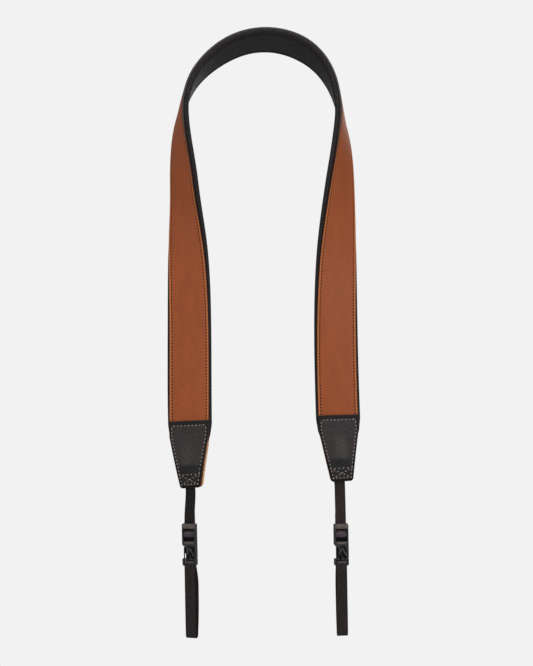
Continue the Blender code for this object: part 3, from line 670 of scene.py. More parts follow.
def thread_tree():
    """Geometry nodes that lay one small round mark after another along seam lines."""
    tree = bpy.data.node_groups.get("thread_run")
    if tree:
        return tree
    tree = bpy.data.node_groups.new("thread_run", "GeometryNodeTree")
    sockets = tree.interface
    sockets.new_socket("Geometry", in_out="INPUT", socket_type="NodeSocketGeometry")
    for name, default in (("Pitch", 3 * MM), ("Length", 2 * MM), ("Width", 0.6 * MM),
                          ("Rise", 0.4 * MM), ("Wander", 0.05)):
        socket = sockets.new_socket(name, in_out="INPUT", socket_type="NodeSocketFloat")
        socket.default_value = default
        socket.min_value = 0.0
    for name, default in (("Sides", 8), ("Rings", 5), ("Seed", 1)):
        socket = sockets.new_socket(name, in_out="INPUT", socket_type="NodeSocketInt")
        socket.default_value = default
    sockets.new_socket("Thread", in_out="INPUT", socket_type="NodeSocketMaterial")
    sockets.new_socket("Geometry", in_out="OUTPUT", socket_type="NodeSocketGeometry")

    def add(kind, **settings):
        node = tree.nodes.new(kind)
        for key, value in settings.items():
            setattr(node, key, value)
        return node

    def join(source, output, target, entry):
        tree.links.new(source.outputs[output], target.inputs[entry])

    given = add("NodeGroupInput")
    made = add("NodeGroupOutput")
    line = add("GeometryNodeMeshToCurve")
    spaced = add("GeometryNodeResampleCurve", mode="LENGTH")
    mark = add("GeometryNodeMeshUVSphere")
    mark.inputs["Radius"].default_value = 0.5
    facing = add("GeometryNodeInputNamedAttribute", data_type="FLOAT_VECTOR")
    facing.inputs["Name"].default_value = "facing"
    upright = add("FunctionNodeAlignRotationToVector", axis="Z")
    ahead = add("FunctionNodeAlignRotationToVector", axis="X", pivot_axis="Z")
    tangent = add("GeometryNodeInputTangent")
    size = add("ShaderNodeCombineXYZ")
    chance = add("FunctionNodeRandomValue", data_type="FLOAT")
    least = add("ShaderNodeMath", operation="SUBTRACT")
    most = add("ShaderNodeMath", operation="ADD")
    scaled = add("ShaderNodeVectorMath", operation="SCALE")
    laid = add("GeometryNodeInstanceOnPoints")
    real = add("GeometryNodeRealizeInstances")
    smooth = add("GeometryNodeSetShadeSmooth")
    dressed = add("GeometryNodeSetMaterial")
    join(given, "Geometry", line, "Mesh")
    join(line, "Curve", spaced, "Curve")
    join(given, "Pitch", spaced, "Length")
    join(given, "Sides", mark, "Segments")
    join(given, "Rings", mark, "Rings")
    join(facing, "Attribute", upright, "Vector")
    join(upright, "Rotation", ahead, "Rotation")
    join(tangent, "Tangent", ahead, "Vector")
    join(given, "Length", size, "X")
    join(given, "Width", size, "Y")
    join(given, "Rise", size, "Z")
    least.inputs[0].default_value = 1.0
    most.inputs[0].default_value = 1.0
    join(given, "Wander", least, 1)
    join(given, "Wander", most, 1)
    join(least, 0, chance, 2)
    join(most, 0, chance, 3)
    join(given, "Seed", chance, "Seed")
    join(size, 0, scaled, 0)
    join(chance, 1, scaled, "Scale")
    join(spaced, "Curve", laid, "Points")
    join(mark, "Mesh", laid, "Instance")
    join(ahead, "Rotation", laid, "Rotation")
    join(scaled, 0, laid, "Scale")
    join(laid, "Instances", real, "Geometry")
    join(real, "Geometry", smooth, "Geometry")
    join(smooth, "Geometry", dressed, "Geometry")
    join(given, "Thread", dressed, "Material")
    join(dressed, "Geometry", made, "Geometry")
    return tree


def lay_thread(name, lines, facings, finish, pitch, length, width, rise, seed, wander=0.06, sides=8,
               rings=5):
    """Lay marks of thread along lines of points, and return them as one plain mesh."""
    mesh = bpy.data.meshes.new(name + "_lines")
    points = np.vstack(lines)
    edges, start = [], 0
    for line in lines:
        edges += [(start + i, start + i + 1) for i in range(len(line) - 1)]
        start += len(line)
    mesh.from_pydata(points.tolist(), edges, [])
    layer = mesh.attributes.new("facing", "FLOAT_VECTOR", "POINT")
    layer.data.foreach_set("vector", np.vstack(facings).astype(np.float32).ravel())
    guide = show(name + "_guide", mesh)
    tree = thread_tree()
    change = guide.modifiers.new("thread", "NODES")
    change.node_group = tree
    wanted = {"Pitch": pitch, "Length": length, "Width": width, "Rise": rise, "Wander": wander,
              "Sides": sides, "Rings": rings, "Seed": seed, "Thread": finish}
    for socket in tree.interface.items_tree:
        if socket.in_out == "INPUT" and socket.name in wanted:
            change[socket.identifier] = wanted[socket.name]
    bpy.context.view_layer.update()
    evaluated = guide.evaluated_get(bpy.context.evaluated_depsgraph_get())
    result = bpy.data.meshes.new_from_object(evaluated)
    result.name = name
    bpy.data.objects.remove(guide, do_unlink=True)
    return show(name, result)


# Webbing


def webbing_seat(side, heights):
    """Middles of the webbing inside a tab, and the directions of its width."""
    centre, _run, width, inner = band_frames(side, HALF_LENGTH[side] - np.asarray(heights))
    across = -SIDES[side] * width
    return centre + (HALF_WEBBING - LINING_THICKNESS) * inner + WEBBING_OFFSET[side] * across, across


def end_frame(side):
    """Frame of a hanging end, level with the tab's foot: Z up, X along the hardware's width."""
    turn = Matrix.Rotation(SIDES[side] * radians(HARDWARE_TURN[side]), 4, "Z")
    lean = Matrix.Rotation(-radians(HARDWARE_LEAN[side]), 4, "Y")
    seat = Vector(webbing_seat(side, [0.0])[0][0])
    return Matrix.Translation(seat + Vector((HARDWARE_SHIFT[side], 0, 0))) @ lean @ turn


def hardware_frame(side):
    """Frame of a buckle and its loop, whose origin is at the buckle's top."""
    return end_frame(side) @ Matrix.Translation((0.0, 0.0, -WEBBING_DROP[side]))


def in_frame(matrix, points):
    """Move local points into the strap's frame."""
    points = np.asarray(points, float)
    turn = np.array(matrix.to_3x3())
    return points @ turn.T + np.array(matrix.translation)


def even_line(points, vectors, step, closed=False):
    """Space points evenly along a line, with the vectors that belong to them."""
    points = np.asarray(points, float)
    vectors = np.asarray(vectors, float)
    if closed:
        points = np.vstack([points, points[:1]])
        vectors = np.vstack([vectors, vectors[:1]])
    travelled = np.concatenate([[0], np.cumsum(np.linalg.norm(np.diff(points, axis=0), axis=1))])
    count = int(round(travelled[-1] / step))
    wanted = np.linspace(0, travelled[-1], count + 1)
    if closed:
        wanted = wanted[:-1]
    spaced = np.stack([np.interp(wanted, travelled, points[:, i]) for i in range(3)], axis=1)
    carried = np.stack([np.interp(wanted, travelled, vectors[:, i]) for i in range(3)], axis=1)
    return spaced, carried / np.linalg.norm(carried, axis=1)[:, None], wanted


def relax(points, rounds, closed=False):
    """Smooth the bends of a line of points, with its ends kept."""
    points = points.copy()
    for _ in range(rounds):
        before = np.roll(points, 1, axis=0)
        after = np.roll(points, -1, axis=0)
        smooth = (before + 2 * points + after) / 4
        if not closed:
            smooth[0], smooth[-1] = points[0], points[-1]
        points = smooth
    return points


def line_directions(points, closed=False):
    """Unit directions along a line of points."""
    if closed:
        run = np.roll(points, -1, axis=0) - np.roll(points, 1, axis=0)
    else:
        run = np.gradient(points, axis=0)
    return run / np.linalg.norm(run, axis=1)[:, None]


def make_ribbon(name, sizes, points, across, core_finish, weave_finish, closed=False):
    """Make webbing along a line: a flat core with round edges, and woven threads on both faces."""
    run = line_directions(points, closed)
    across = across - np.sum(across * run, axis=1)[:, None] * run
    across = across / np.linalg.norm(across, axis=1)[:, None]
    facing = np.cross(across, run)
    half = WEBBING_WIDTH / 2
    core = HALF_WEBBING - WEAVE_BED
    angle = np.linspace(-pi / 2, pi / 2, 7)
    edge = np.stack([half - core * (1 - np.cos(angle)), core * np.sin(angle)], axis=1)
    outline = np.vstack([edge, -edge])
    grid = (points[:, None] + outline[None, :, :1] * across[:, None]
            + outline[None, :, 1:] * facing[:, None])
    travelled = np.concatenate([[0], np.cumsum(np.linalg.norm(np.diff(points, axis=0), axis=1))])
    place = np.broadcast_arrays(outline[None, :, 0], travelled[:, None], outline[None, :, 1])
    item = skin(name, grid, np.stack(place, axis=2), core_finish, closed)
    lines, facings = [], []
    reach = half - sizes.selvedge / 2
    spots = np.linspace(-reach, reach, sizes.weave_columns)
    for face in (1, -1):
        for number, spot in enumerate(spots):
            line = points + spot * across + face * (core + 0.02 * MM) * facing
            if closed:
                line = np.vstack([line, line[:1]])
                toward = np.vstack([facing, facing[:1]]) * face
            else:
                toward = facing * face
            shift = sizes.weave_pitch / 2 if number % 2 else 0.0
            start = line[0] + run[0] * shift
            lines.append(np.vstack([start, line[1:]]))
            facings.append(toward)
    spacing = spots[1] - spots[0]
    weave = lay_thread(name + "_weave", lines, facings, weave_finish, sizes.weave_pitch,
                       sizes.weave_pitch * 0.98, spacing * 1.02, THREAD_RISE["weave"], 7,
                       wander=0.08, sides=6, rings=3)
    return item, weave


def hanging_webbing(side, step):
    """Points and width directions of an end's webbing, round the buckle's centre bar."""
    matrix = end_frame(side)
    inside, turned = webbing_seat(side, [14 * MM, 9 * MM, 4.5 * MM])
    start = matrix.inverted() @ Vector(webbing_seat(side, [0.0])[0][0])
    level = np.array(matrix.to_3x3() @ Vector((1.0, 0.0, 0.0)))
    top = -WEBBING_DROP[side]
    shares = np.arange(1, 6) / 6
    swing = 1 - ease(shares)
    fall = np.stack([start.x * swing, start.y * swing, start.z + (top - start.z) * shares], axis=1)
    points = list(inside) + list(in_frame(matrix, fall))
    across = list(turned)
    across += [turned[-1] * value + level * (1 - value) for value in swing]
    bend = top - CENTRE_BAR_TOP - CENTRE_BAR_HEIGHT + BAR_DEPTH / 2
    route = [(0, 0, top), (0, 0, top - TOP_BAR_HEIGHT - HALF_WEBBING),
             (0, CENTRE_BAR_MIDDLE - WRAP_RADIUS, top - CENTRE_BAR_TOP + LAYER_GAP)]
    for angle in np.linspace(0, pi, 13):
        route.append((0, CENTRE_BAR_MIDDLE - WRAP_RADIUS * cos(angle),
                      bend - WRAP_RADIUS * sin(angle)))
    route.append((0, TAIL_LAYER, top + WEBBING_TAIL))
    points += list(in_frame(matrix, route))
    across += [level] * len(route)
    spaced, carried, _ = even_line(points, across, step)
    return relax(spaced, 3), carried


def lug_loop_line(side, step):
    """Points and width directions of a closed lug loop."""
    matrix = hardware_frame(side)
    bar = LOOP_BAR_TOP - BAR_DEPTH / 2
    reach = LOOP_FOOT_FLAT / 2 + LOOP_FOOT_RADIUS
    bend = bar - LOOP_LENGTH[side] + LOOP_FOOT_RADIUS + HALF_WEBBING
    shares = np.linspace(0, 1, 25)
    places = [0.0] + [row.share for row in LOOP_FORM] + [1.0]
    front = [row.front * LOOP_WIDEST for row in LOOP_FORM]
    rear = [row.rear * LOOP_WIDEST for row in LOOP_FORM]
    front = smooth_curve(places, [WRAP_RADIUS] + front + [reach - LOOP_FOOT_BACK], shares)
    rear = smooth_curve(places, [WRAP_RADIUS] + rear + [reach + LOOP_FOOT_BACK], shares)
    heights = bar + (bend - bar) * shares
    turn = np.linspace(0, pi / 2, 7)[1:]
    aside = LOOP_FOOT_FLAT / 2 + LOOP_FOOT_RADIUS * np.cos(turn)
    low = bend - LOOP_FOOT_RADIUS * np.sin(turn)
    arch = np.linspace(0, pi, 13)[1:-1]
    depth = np.concatenate([-front, LOOP_FOOT_BACK - aside, LOOP_FOOT_BACK + aside[::-1], rear[::-1],
                            WRAP_RADIUS * np.cos(arch)])
    height = np.concatenate([heights, low, low[::-1], heights[::-1],
                             bar + WRAP_RADIUS * np.sin(arch)])
    twist = ease((bar - height) / (LOOP_TWIST_SHARE * LOOP_LENGTH[side]))
    angle = SIDES[side] * radians(LOOP_TWIST[side]) * twist
    route = np.stack([-depth * np.sin(angle), BUCKLE_MIDDLE + depth * np.cos(angle), height], axis=1)
    level = np.stack([np.cos(angle), np.sin(angle), np.zeros_like(angle)], axis=1)
    level = level @ np.array(matrix.to_3x3()).T
    spaced, carried, _ = even_line(in_frame(matrix, route), level, step, closed=True)
    return relax(spaced, 1, closed=True), carried


# Finishes


class Wire:
    """A socket in a finish. Arithmetic on it adds Math nodes."""

    def __init__(self, finish, socket):
        self.finish = finish
        self.socket = socket

    def math(self, operation, first, second=0.0, clamp=False):
        """Add one Math node."""
        return self.finish.add("ShaderNodeMath", 0, {"operation": operation, "use_clamp": clamp},
                               {0: first, 1: second})

    def __add__(self, other):
        return self.math("ADD", self, other)

    def __radd__(self, other):
        return self.math("ADD", other, self)

    def __sub__(self, other):
        return self.math("SUBTRACT", self, other)

    def __rsub__(self, other):
        return self.math("SUBTRACT", other, self)

    def __mul__(self, other):
        return self.math("MULTIPLY", self, other)

    def __rmul__(self, other):
        return self.math("MULTIPLY", other, self)

    def __abs__(self):
        return self.math("ABSOLUTE", self)

    def between(self, low, high):
        """Smooth step from 0 at low to 1 at high."""
        return self.finish.add(
            "ShaderNodeMapRange", "Result", {"interpolation_type": "SMOOTHSTEP"},
            {"Value": self, "From Min": low, "From Max": high})


class Finish:
    """A Principled material that is being put together."""

    def __init__(self, name, **constants):
        self.material = bpy.data.materials.new(name)
        self.material.use_nodes = True
        self.tree = self.material.node_tree
        self.shader = self.tree.nodes["Principled BSDF"]
        for key, value in constants.items():
            self.socket(key).default_value = value

    def socket(self, key):
        """The shader's socket that a keyword stands for."""
        return self.shader.inputs[key.replace("_", " ").title().replace("Ior", "IOR")]

    def add(self, kind, output, settings=None, inputs=None):
        """Add a node, with its settings and the values or wires of its sockets."""
        node = self.tree.nodes.new(kind)
        for key, value in (settings or {}).items():
            setattr(node, key, value)
        for key, value in (inputs or {}).items():
            if isinstance(value, Wire):
                self.tree.links.new(value.socket, node.inputs[key])
            else:
                node.inputs[key].default_value = value
        return Wire(self, node.outputs[output])

    def mix(self, factor, first, second):
        """Mix two colours."""
        first, second = (item if isinstance(item, Wire) else (*item, 1.0) for item in (first, second))
        return self.add("ShaderNodeMix", 2, {"data_type": "RGBA"}, {0: factor, 6: first, 7: second})

    def place(self):
        """The piece's own across, along and depth, in millimetres, and the three together."""
        whole = self.add("ShaderNodeAttribute", "Vector", {"attribute_name": "place_mm"})
        parts = self.tree.nodes.new("ShaderNodeSeparateXYZ")
        self.tree.links.new(whole.socket, parts.inputs[0])
        return [Wire(self, parts.outputs[i]) for i in range(3)] + [whole]

    def stretched(self, vector, scale):
        """A vector with its axes scaled."""
        return self.add("ShaderNodeVectorMath", 0, {"operation": "MULTIPLY"}, {0: vector, 1: scale})

    def object_place(self):
        """Object coordinates, in metres."""
        return self.add("ShaderNodeTexCoord", "Object")

    def noise(self, vector, scale, detail=2.0, roughness=0.5):
        """Noise from 0 to 1."""
        return self.add("ShaderNodeTexNoise", "Fac", {},
                        {"Vector": vector, "Scale": scale, "Detail": detail, "Roughness": roughness})

    def cells(self, vector, scale, randomness=1.0):
        """Distance in a pattern of cells."""
        return self.add("ShaderNodeTexVoronoi", "Distance", {},
                        {"Vector": vector, "Scale": scale, "Randomness": randomness})

    def bump(self, height, distance, strength):
        """Turn a height into a normal."""
        return self.add("ShaderNodeBump", "Normal", {},
                        {"Height": height, "Distance": distance, "Strength": strength})

    def feed(self, **wires):
        """Link wires to the shader and return the material."""
        for key, wire in wires.items():
            self.tree.links.new(wire.socket, self.socket(key))
        return self.material


def toned(colour, factor, tint=(1.0, 1.0, 1.0)):
    """A colour made darker or lighter, with an optional tint."""
    return tuple(min(1.0, value * factor * part) for value, part in zip(colour, tint))


def tab_half_wire(height):
    """Half a tab's width at a height above its foot, in millimetres, as nodes."""
    taper = (TAB_LENGTH - TAB_SHOULDER) / MM
    share = height.math("MULTIPLY", height, 1 / taper, clamp=True)
    return share * ((LEATHER_WIDTH - TAB_FOOT_WIDTH) / 2 / MM) + TAB_FOOT_WIDTH / 2 / MM


def tan_leather(colours, name, sewn):
    """Oiled tan leather with pores and grain, and a lighter margin and dark cut edge where sewn."""
    finish = Finish(name, specular_ior_level=0.22)
    across, along, depth, whole = finish.place()
    cloud = finish.noise(finish.stretched(whole, (0.09, 0.03, 0.09)), 1.0, 4.0, 0.55)
    brushed = finish.noise(finish.stretched(whole, (0.25, 1.6, 0.25)), 1.0, 3.0, 0.6)
    grain = finish.cells(finish.stretched(whole, (1.5, 1.15, 1.5)), 1.0)
    pores = finish.cells(finish.stretched(whole, (2.6, 2.2, 2.6)), 1.0)
    fuzz = finish.noise(whole, 3.0, 3.0, 0.6)
    base = tuple(colours.tan) if sewn else toned(colours.tan, 1.3)
    colour = finish.mix(cloud.between(0.30, 0.72), toned(base, 0.93), toned(base, 1.10))
    colour = finish.mix(brushed.between(0.30, 0.70) * 0.25, colour, toned(base, 0.86))
    mottle = finish.noise(finish.stretched(whole, (0.45, 0.7, 0.45)), 1.0, 3.0, 0.7)
    colour = finish.mix(mottle.between(0.40, 0.62) * 0.5, colour, toned(base, 0.78))
    if sewn:
        edge = LEATHER_WIDTH / 2 / MM
        seam = SEAM_LINE / MM
        face = -LEATHER_OUTER / MM
        from_middle = abs(across)
        margin = from_middle.between(seam + 0.1, seam + 1.0)
        colour = finish.mix(margin * 0.9, colour, tuple(colours.tan_edge))
        pulled = 1 - abs(from_middle - seam).between(0.10, 0.95)
        colour = finish.mix(pulled * 0.12, colour, toned(colours.tan, 0.4))
        cut = from_middle.between(edge - 0.55, edge - 0.25)
        wall = (depth * -1).between(face - 0.2, face - 0.6)
        colour = finish.mix(cut, colour, toned(colours.tan, 0.22))
        colour = finish.mix(wall, colour, toned(colours.tan, 0.12))
        # Painted highlight: near the crown the leather's edge is painted grey instead of tan, a tone
        # raised to stand for light from above on the rim
        crown_rim_highlight = from_middle.between(edge - 1.3, edge - 0.9) * abs(along).between(*CROWN_RIM_HIGHLIGHT)
        colour = finish.mix(crown_rim_highlight, colour, CROWN_RIM_HIGHLIGHT_COLOUR)
    else:
        # Painted highlight: the back tab's edge beside the front tab takes the lighter backing colour
        rim = (abs(across) - tab_half_wire(along)).between(-1.1, -0.5)
        colour = finish.mix(rim, colour, tuple(colours.lit_backing_edge))
    spots = pores.between(0.12, 0.02) * fuzz.between(0.45, 0.6)
    colour = finish.mix(spots * 0.35, colour, toned(colours.tan, 0.4))
    rough = 0.46 + cloud * 0.10 + brushed * 0.06
    relief = grain * 0.6 + fuzz * 0.4 - spots * 0.8
    return finish.feed(base_color=colour, roughness=rough, normal=finish.bump(relief, 0.00012, 0.55))


def dark_leather(colours, inset):
    """Near-black grained leather of the end tabs, darkest outside its stitches."""
    finish = Finish("dark_leather", specular_ior_level=0.3)
    across, height, _depth, whole = finish.place()
    cloud = finish.noise(finish.stretched(whole, (0.35, 0.35, 0.35)), 1.0, 2.0)
    grain = finish.cells(finish.stretched(whole, (1.25, 1.1, 1.25)), 1.0)
    fuzz = finish.noise(whole, 2.5, 4.0, 0.65)
    sides = (abs(across) - tab_half_wire(height) + inset / MM).between(-0.3, 0.9)
    top = height.between(TAB_LENGTH / MM - 4.4, TAB_LENGTH / MM - 3.4)
    foot = height.between(2.8, 1.8)
    rim = 1 - (1 - sides) * (1 - top) * (1 - foot)
    dark = tuple(colours.dark)
    colour = finish.mix(cloud.between(0.3, 0.75), dark, toned(dark, 1.8))
    colour = finish.mix(grain.between(0.45, 0.75) * 0.35, colour, toned(dark, 0.5))
    colour = finish.mix(rim * 0.9, colour, toned(dark, 0.15))
    # Painted shade: the tab is darkened low down, over its box of stitches and under its swell
    low = height.between(*FOOT_SHADE)
    colour = finish.mix(low * 0.9, colour, toned(dark, 0.15))
    # Painted highlight: a lighter patch on the tab's swell over the webbing, where it catches the
    # light
    wear_and_highlight = height.between(*TAB_HIGHLIGHT_RISE) * height.between(*TAB_HIGHLIGHT_FALL)
    wear_and_highlight = wear_and_highlight * abs(across).between(*TAB_HIGHLIGHT_REACH)
    colour = finish.mix(wear_and_highlight * 0.45, colour, toned(dark, 3.4))
    rough = 0.36 + fuzz * 0.16 + rim * 0.35 + low * 0.2
    mottle = finish.noise(finish.stretched(whole, (0.55, 0.55, 0.55)), 1.0, 3.0, 0.7)
    colour = finish.mix(mottle.between(0.42, 0.64) * 0.6, colour, toned(dark, 0.3))
    relief = grain * 0.7 + fuzz * 0.3 + mottle
    return finish.feed(base_color=colour, roughness=rough, normal=finish.bump(relief, 0.00022, 0.7))


def lining_cloth(colours):
    """Black brushed cover of the padding, with a fine knit."""
    finish = Finish("black_lining", specular_ior_level=0.2, sheen_weight=0.02, sheen_roughness=0.4)
    whole = finish.place()[-1]
    nap = finish.noise(whole, 0.7, 5.0, 0.75)
    cloud = finish.noise(finish.stretched(whole, (0.08, 0.05, 0.08)), 1.0, 3.0)
    knit = finish.cells(finish.stretched(whole, (1.9, 1.9, 1.9)), 1.0, randomness=0.35)
    black = tuple(colours.lining)
    colour = finish.mix(nap.between(0.42, 0.66), toned(black, 0.55), toned(black, 3.4))
    colour = finish.mix(cloud.between(0.35, 0.7) * 0.4, colour, toned(black, 0.75))
    rough = 0.62 + nap * 0.2
    relief = knit * 0.6 + nap * 0.5
    return finish.feed(base_color=colour, roughness=rough, normal=finish.bump(relief, 0.0002, 0.5))


def woven_cloth(colours, name, lift, tint=(1.0, 1.0, 1.0)):
    """Black nylon of the webbing."""
    finish = Finish(name, specular_ior_level=0.2, sheen_weight=0.02, sheen_roughness=0.4)
    spot = finish.object_place()
    fibre = finish.noise(spot, 3500.0, 3.0, 0.6)
    patch = finish.noise(spot, 350.0, 2.0)
    base = toned(colours.webbing, lift, tint)
    colour = finish.mix(patch.between(0.35, 0.7) * 0.6 + fibre * 0.3, base, toned(base, 2.1))
    rough = 0.5 + fibre * 0.2
    return finish.feed(base_color=colour, roughness=rough, normal=finish.bump(fibre, 0.00005, 0.5))


def sewing_thread(name, tone, gloss=0.3):
    """Twisted sewing thread."""
    finish = Finish(name, specular_ior_level=gloss)
    spot = finish.object_place()
    twist = finish.noise(spot, 2600.0, 2.0, 0.6)
    wear_and_side_light = finish.noise(spot, 160.0, 2.0)
    colour = finish.mix(twist.between(0.3, 0.7), toned(tone, 0.55), toned(tone, 1.25))
    colour = finish.mix(wear_and_side_light.between(0.5, 0.75) * 0.4, colour, toned(tone, 0.55))
    rough = 0.55 + twist * 0.2
    return finish.feed(base_color=colour, roughness=rough, normal=finish.bump(twist, 0.00006, 0.6))


def moulded_plastic(colours, name, lift=1.0, gloss=0.35, tint=(1.0, 1.0, 1.0)):
    """Black moulded plastic with a fine spark-eroded surface."""
    finish = Finish(name, specular_ior_level=gloss)
    spot = finish.object_place()
    fine = finish.noise(spot, 2400.0, 3.0, 0.6)
    wear_and_highlight = finish.noise(spot, 220.0, 3.0)
    base = toned(colours.plastic, lift, tint)
    colour = finish.mix(wear_and_highlight.between(0.4, 0.75) * 0.6, base, toned(base, 2.0))
    rough = 0.34 + fine * 0.14 + wear_and_highlight * 0.06
    return finish.feed(base_color=colour, roughness=rough, normal=finish.bump(fine, 0.00004, 0.5))


def pale_floor():
    """Plain pale surface of the floor."""
    colour = (FLOOR_TONE, FLOOR_TONE, FLOOR_TONE, 1.0)
    return Finish("pale_floor", base_color=colour, roughness=0.9).material


# Operators


class STRAP_OT_stage(bpy.types.Operator):
    """Make the floor, the lights, the backdrop and the camera"""

    bl_idname = "strap.stage"
    bl_label = "Stage"

    def execute(self, context):
        scene = context.scene
        scene.view_settings.view_transform = "Standard"
        scene.view_settings.look = "None"
        world = bpy.data.worlds.new("studio")
        world.use_nodes = True
        scene.world = world
        nodes, links = world.node_tree.nodes, world.node_tree.links
        seen = nodes.new("ShaderNodeBackground")
        seen.inputs["Color"].default_value = (BACKDROP, BACKDROP, BACKDROP, 1.0)
        room = nodes["Background"]
        room.inputs["Color"].default_value = (1.0, 1.0, 1.0, 1.0)
        room.inputs["Strength"].default_value = ROOM_LIGHT
        choice = nodes.new("ShaderNodeMixShader")
        path = nodes.new("ShaderNodeLightPath")
        links.new(path.outputs["Is Camera Ray"], choice.inputs[0])
        links.new(room.outputs[0], choice.inputs[1])
        links.new(seen.outputs[0], choice.inputs[2])
        links.new(choice.outputs[0], nodes["World Output"].inputs["Surface"])
        mesh = bpy.data.meshes.new("floor")
        shape = bmesh.new()
        bmesh.ops.create_circle(shape, cap_ends=True, segments=96, radius=FLOOR_RADIUS)
        shape.to_mesh(mesh)
        shape.free()
        mesh.transform(Matrix.Translation((0.0, 0.0, FLOOR_HEIGHT)))
        mesh.materials.append(pale_floor())
        show("floor", mesh)
        for lamp in LAMPS:
            light = bpy.data.lights.new(lamp.name, "AREA")
            light.size = lamp.size
            light.energy = lamp.power
            item = show(lamp.name, light)
            item.location = lamp.place
            toward = Vector(lamp.aim) - Vector(lamp.place)
            item.rotation_euler = toward.to_track_quat("-Z", "Y").to_euler()
        camera = bpy.data.cameras.new("photo_view")
        camera.sensor_fit = "VERTICAL"
        camera.sensor_height = SENSOR_HEIGHT
        camera.lens = CAMERA_LENS
        camera.clip_start = 0.05
        view = show("photo_view", camera)
        view.location = CAMERA_PLACE
        view.rotation_euler = (radians(90), 0.0, 0.0)
        scene.camera = view
        return {"FINISHED"}


class STRAP_OT_lining(bpy.types.Operator):
    """Make the padded lining and the stitches that show on it"""

    bl_idname = "strap.lining"
    bl_label = "Padded Lining"

    def execute(self, context):
        sizes, colours = context.scene.strap_sizes, context.scene.strap_colours
        finish = lining_cloth(colours)
        points, place = band_grid(lambda height: lining_section(sizes, height), LINING_STOP,
                                  sizes.ring_step)
        pad = skin("lining_pad", points, place, finish)
        ride_as(pad, "padded_lining", "padded_lining")
        lines, facings = seam_lines(sizes, 0.0, 1)
        thread = sewing_thread("lining_thread", colours.lining)
        seam = lay_thread("lining_stitches", lines, facings, thread, sizes.band_pitch,
                          sizes.band_stitch, sizes.band_thread_width, THREAD_RISE["lining"], 3)
        ride_as(seam, "padded_lining")
        return {"FINISHED"}


def seam_lines(sizes, depth, toward):
    """Lines of the band's stitches on one face, from tab to tab, and the way that they face."""
    lines, facings = [], []
    for edge in (1, -1):
        points, normals = [], []
        for side in ("left", "right"):
            reach = HALF_LENGTH[side] - TAB_LENGTH - SEAM_STEP
            run = np.linspace(0, reach, int(reach / SEAM_STEP))
            line = on_band(side, run, np.array([edge * SEAM_LINE]), np.array([depth]))[:, 0]
            normal = band_frames(side, run)[3] * toward
            if side == "left":
                line, normal = line[:0:-1], normal[:0:-1]
            points.append(line)
            normals.append(normal)
        lines.append(np.vstack(points))
        facings.append(np.vstack(normals))
    return lines, facings


class STRAP_OT_leather(bpy.types.Operator):
    """Make the tan leather band and its stitches"""

    bl_idname = "strap.leather"
    bl_label = "Leather Band"

    def execute(self, context):
        sizes, colours = context.scene.strap_sizes, context.scene.strap_colours
        finish = tan_leather(colours, "tan_leather", True)
        points, place = band_grid(lambda height: leather_section(sizes, height), 0, sizes.ring_step)
        band = skin("leather_face", points, place, finish)
        ride_as(band, "leather_band", "leather_band")
        lines, facings = seam_lines(sizes, LEATHER_OUTER + sizes.seam_depth - 0.05 * MM, -1)
        thread = sewing_thread("band_thread", colours.band_thread, 0.08)
        seam = lay_thread("leather_stitches", lines, facings, thread, sizes.band_pitch,
                          sizes.band_stitch, sizes.band_thread_width, THREAD_RISE["band"], 5)
        ride_as(seam, "leather_band")
        return {"FINISHED"}


def tab_lines(sizes, side):
    """Lines of a front tab's stitches: round its edge, and a crossed box at its foot."""
    levels = {"foot": TAB_BOX_FOOT, "box": TAB_BOX_TOP, "shoulder": TAB_LENGTH - TAB_SHOULDER,
              "corner": TAB_SEAM_TOP - TAB_SEAM_TURN, "top": TAB_SEAM_TOP}
    half = {name: float(tab_half_width(np.array(level))) - sizes.tab_seam_inset
            for name, level in levels.items()}
    half["corner"] = half["top"]
    half["top"] -= TAB_SEAM_TURN

    def spot(hand, name):
        return hand * half[name], levels[name]

    runs = [
        [spot(1, "top"), spot(-1, "top")],
        [spot(-1, "top"), spot(-1, "corner"), spot(-1, "shoulder"), spot(-1, "foot")],
        [spot(-1, "foot"), spot(1, "foot")],
        [spot(1, "foot"), spot(1, "shoulder"), spot(1, "corner"), spot(1, "top")],
        [spot(-1, "box"), spot(1, "box")],
        [spot(-1, "foot"), spot(1, "box")],
        [spot(1, "foot"), spot(-1, "box")],
    ]
    lines, facings = [], []
    for run in runs:
        run = np.array(run)
        travelled = np.concatenate([[0], np.cumsum(np.linalg.norm(np.diff(run, axis=0), axis=1))])
        wanted = np.linspace(0, travelled[-1], max(3, int(travelled[-1] / MM)))
        across = np.interp(wanted, travelled, run[:, 0])
        height = np.interp(wanted, travelled, run[:, 1])
        centre, _run, width, inner = band_frames(side, HALF_LENGTH[side] - height)
        lines.append(centre + across[:, None] * width + TAB_SEAM_DEPTH * inner)
        facings.append(-inner)
    return lines, facings


class STRAP_OT_tabs(bpy.types.Operator):
    """Make the end tabs, front and back, with their stitches"""

    bl_idname = "strap.tabs"
    bl_label = "End Tabs"

    def execute(self, context):
        sizes, colours = context.scene.strap_sizes, context.scene.strap_colours
        dark = dark_leather(colours, sizes.tab_seam_inset)
        tan = tan_leather(colours, "tan_backing", False)
        thread = sewing_thread("tab_thread", colours.tab_thread)
        for side in SIDES:
            points, place = end_grid(side, lambda height: tab_section(sizes, side, height),
                                     TAB_LENGTH, TAB_RING)
            tab = skin("tab_face_" + side, points, place, dark)
            ride_as(tab, "tab_front", "tab_front_" + side)
            points, place = end_grid(side, lambda height: back_tab_section(side, height),
                                     BACK_TAB_LENGTH, TAB_RING)
            back = skin("tab_backing_" + side, points, place, tan)
            ride_as(back, "tab_back", "tab_back_" + side)
            lines, facings = tab_lines(sizes, side)
            seam = lay_thread("tab_stitches_" + side, lines, facings, thread, sizes.tab_pitch,
                              sizes.tab_stitch, sizes.tab_thread_width, THREAD_RISE["tab"], 11)
            ride_as(seam, "tab_front")
        return {"FINISHED"}


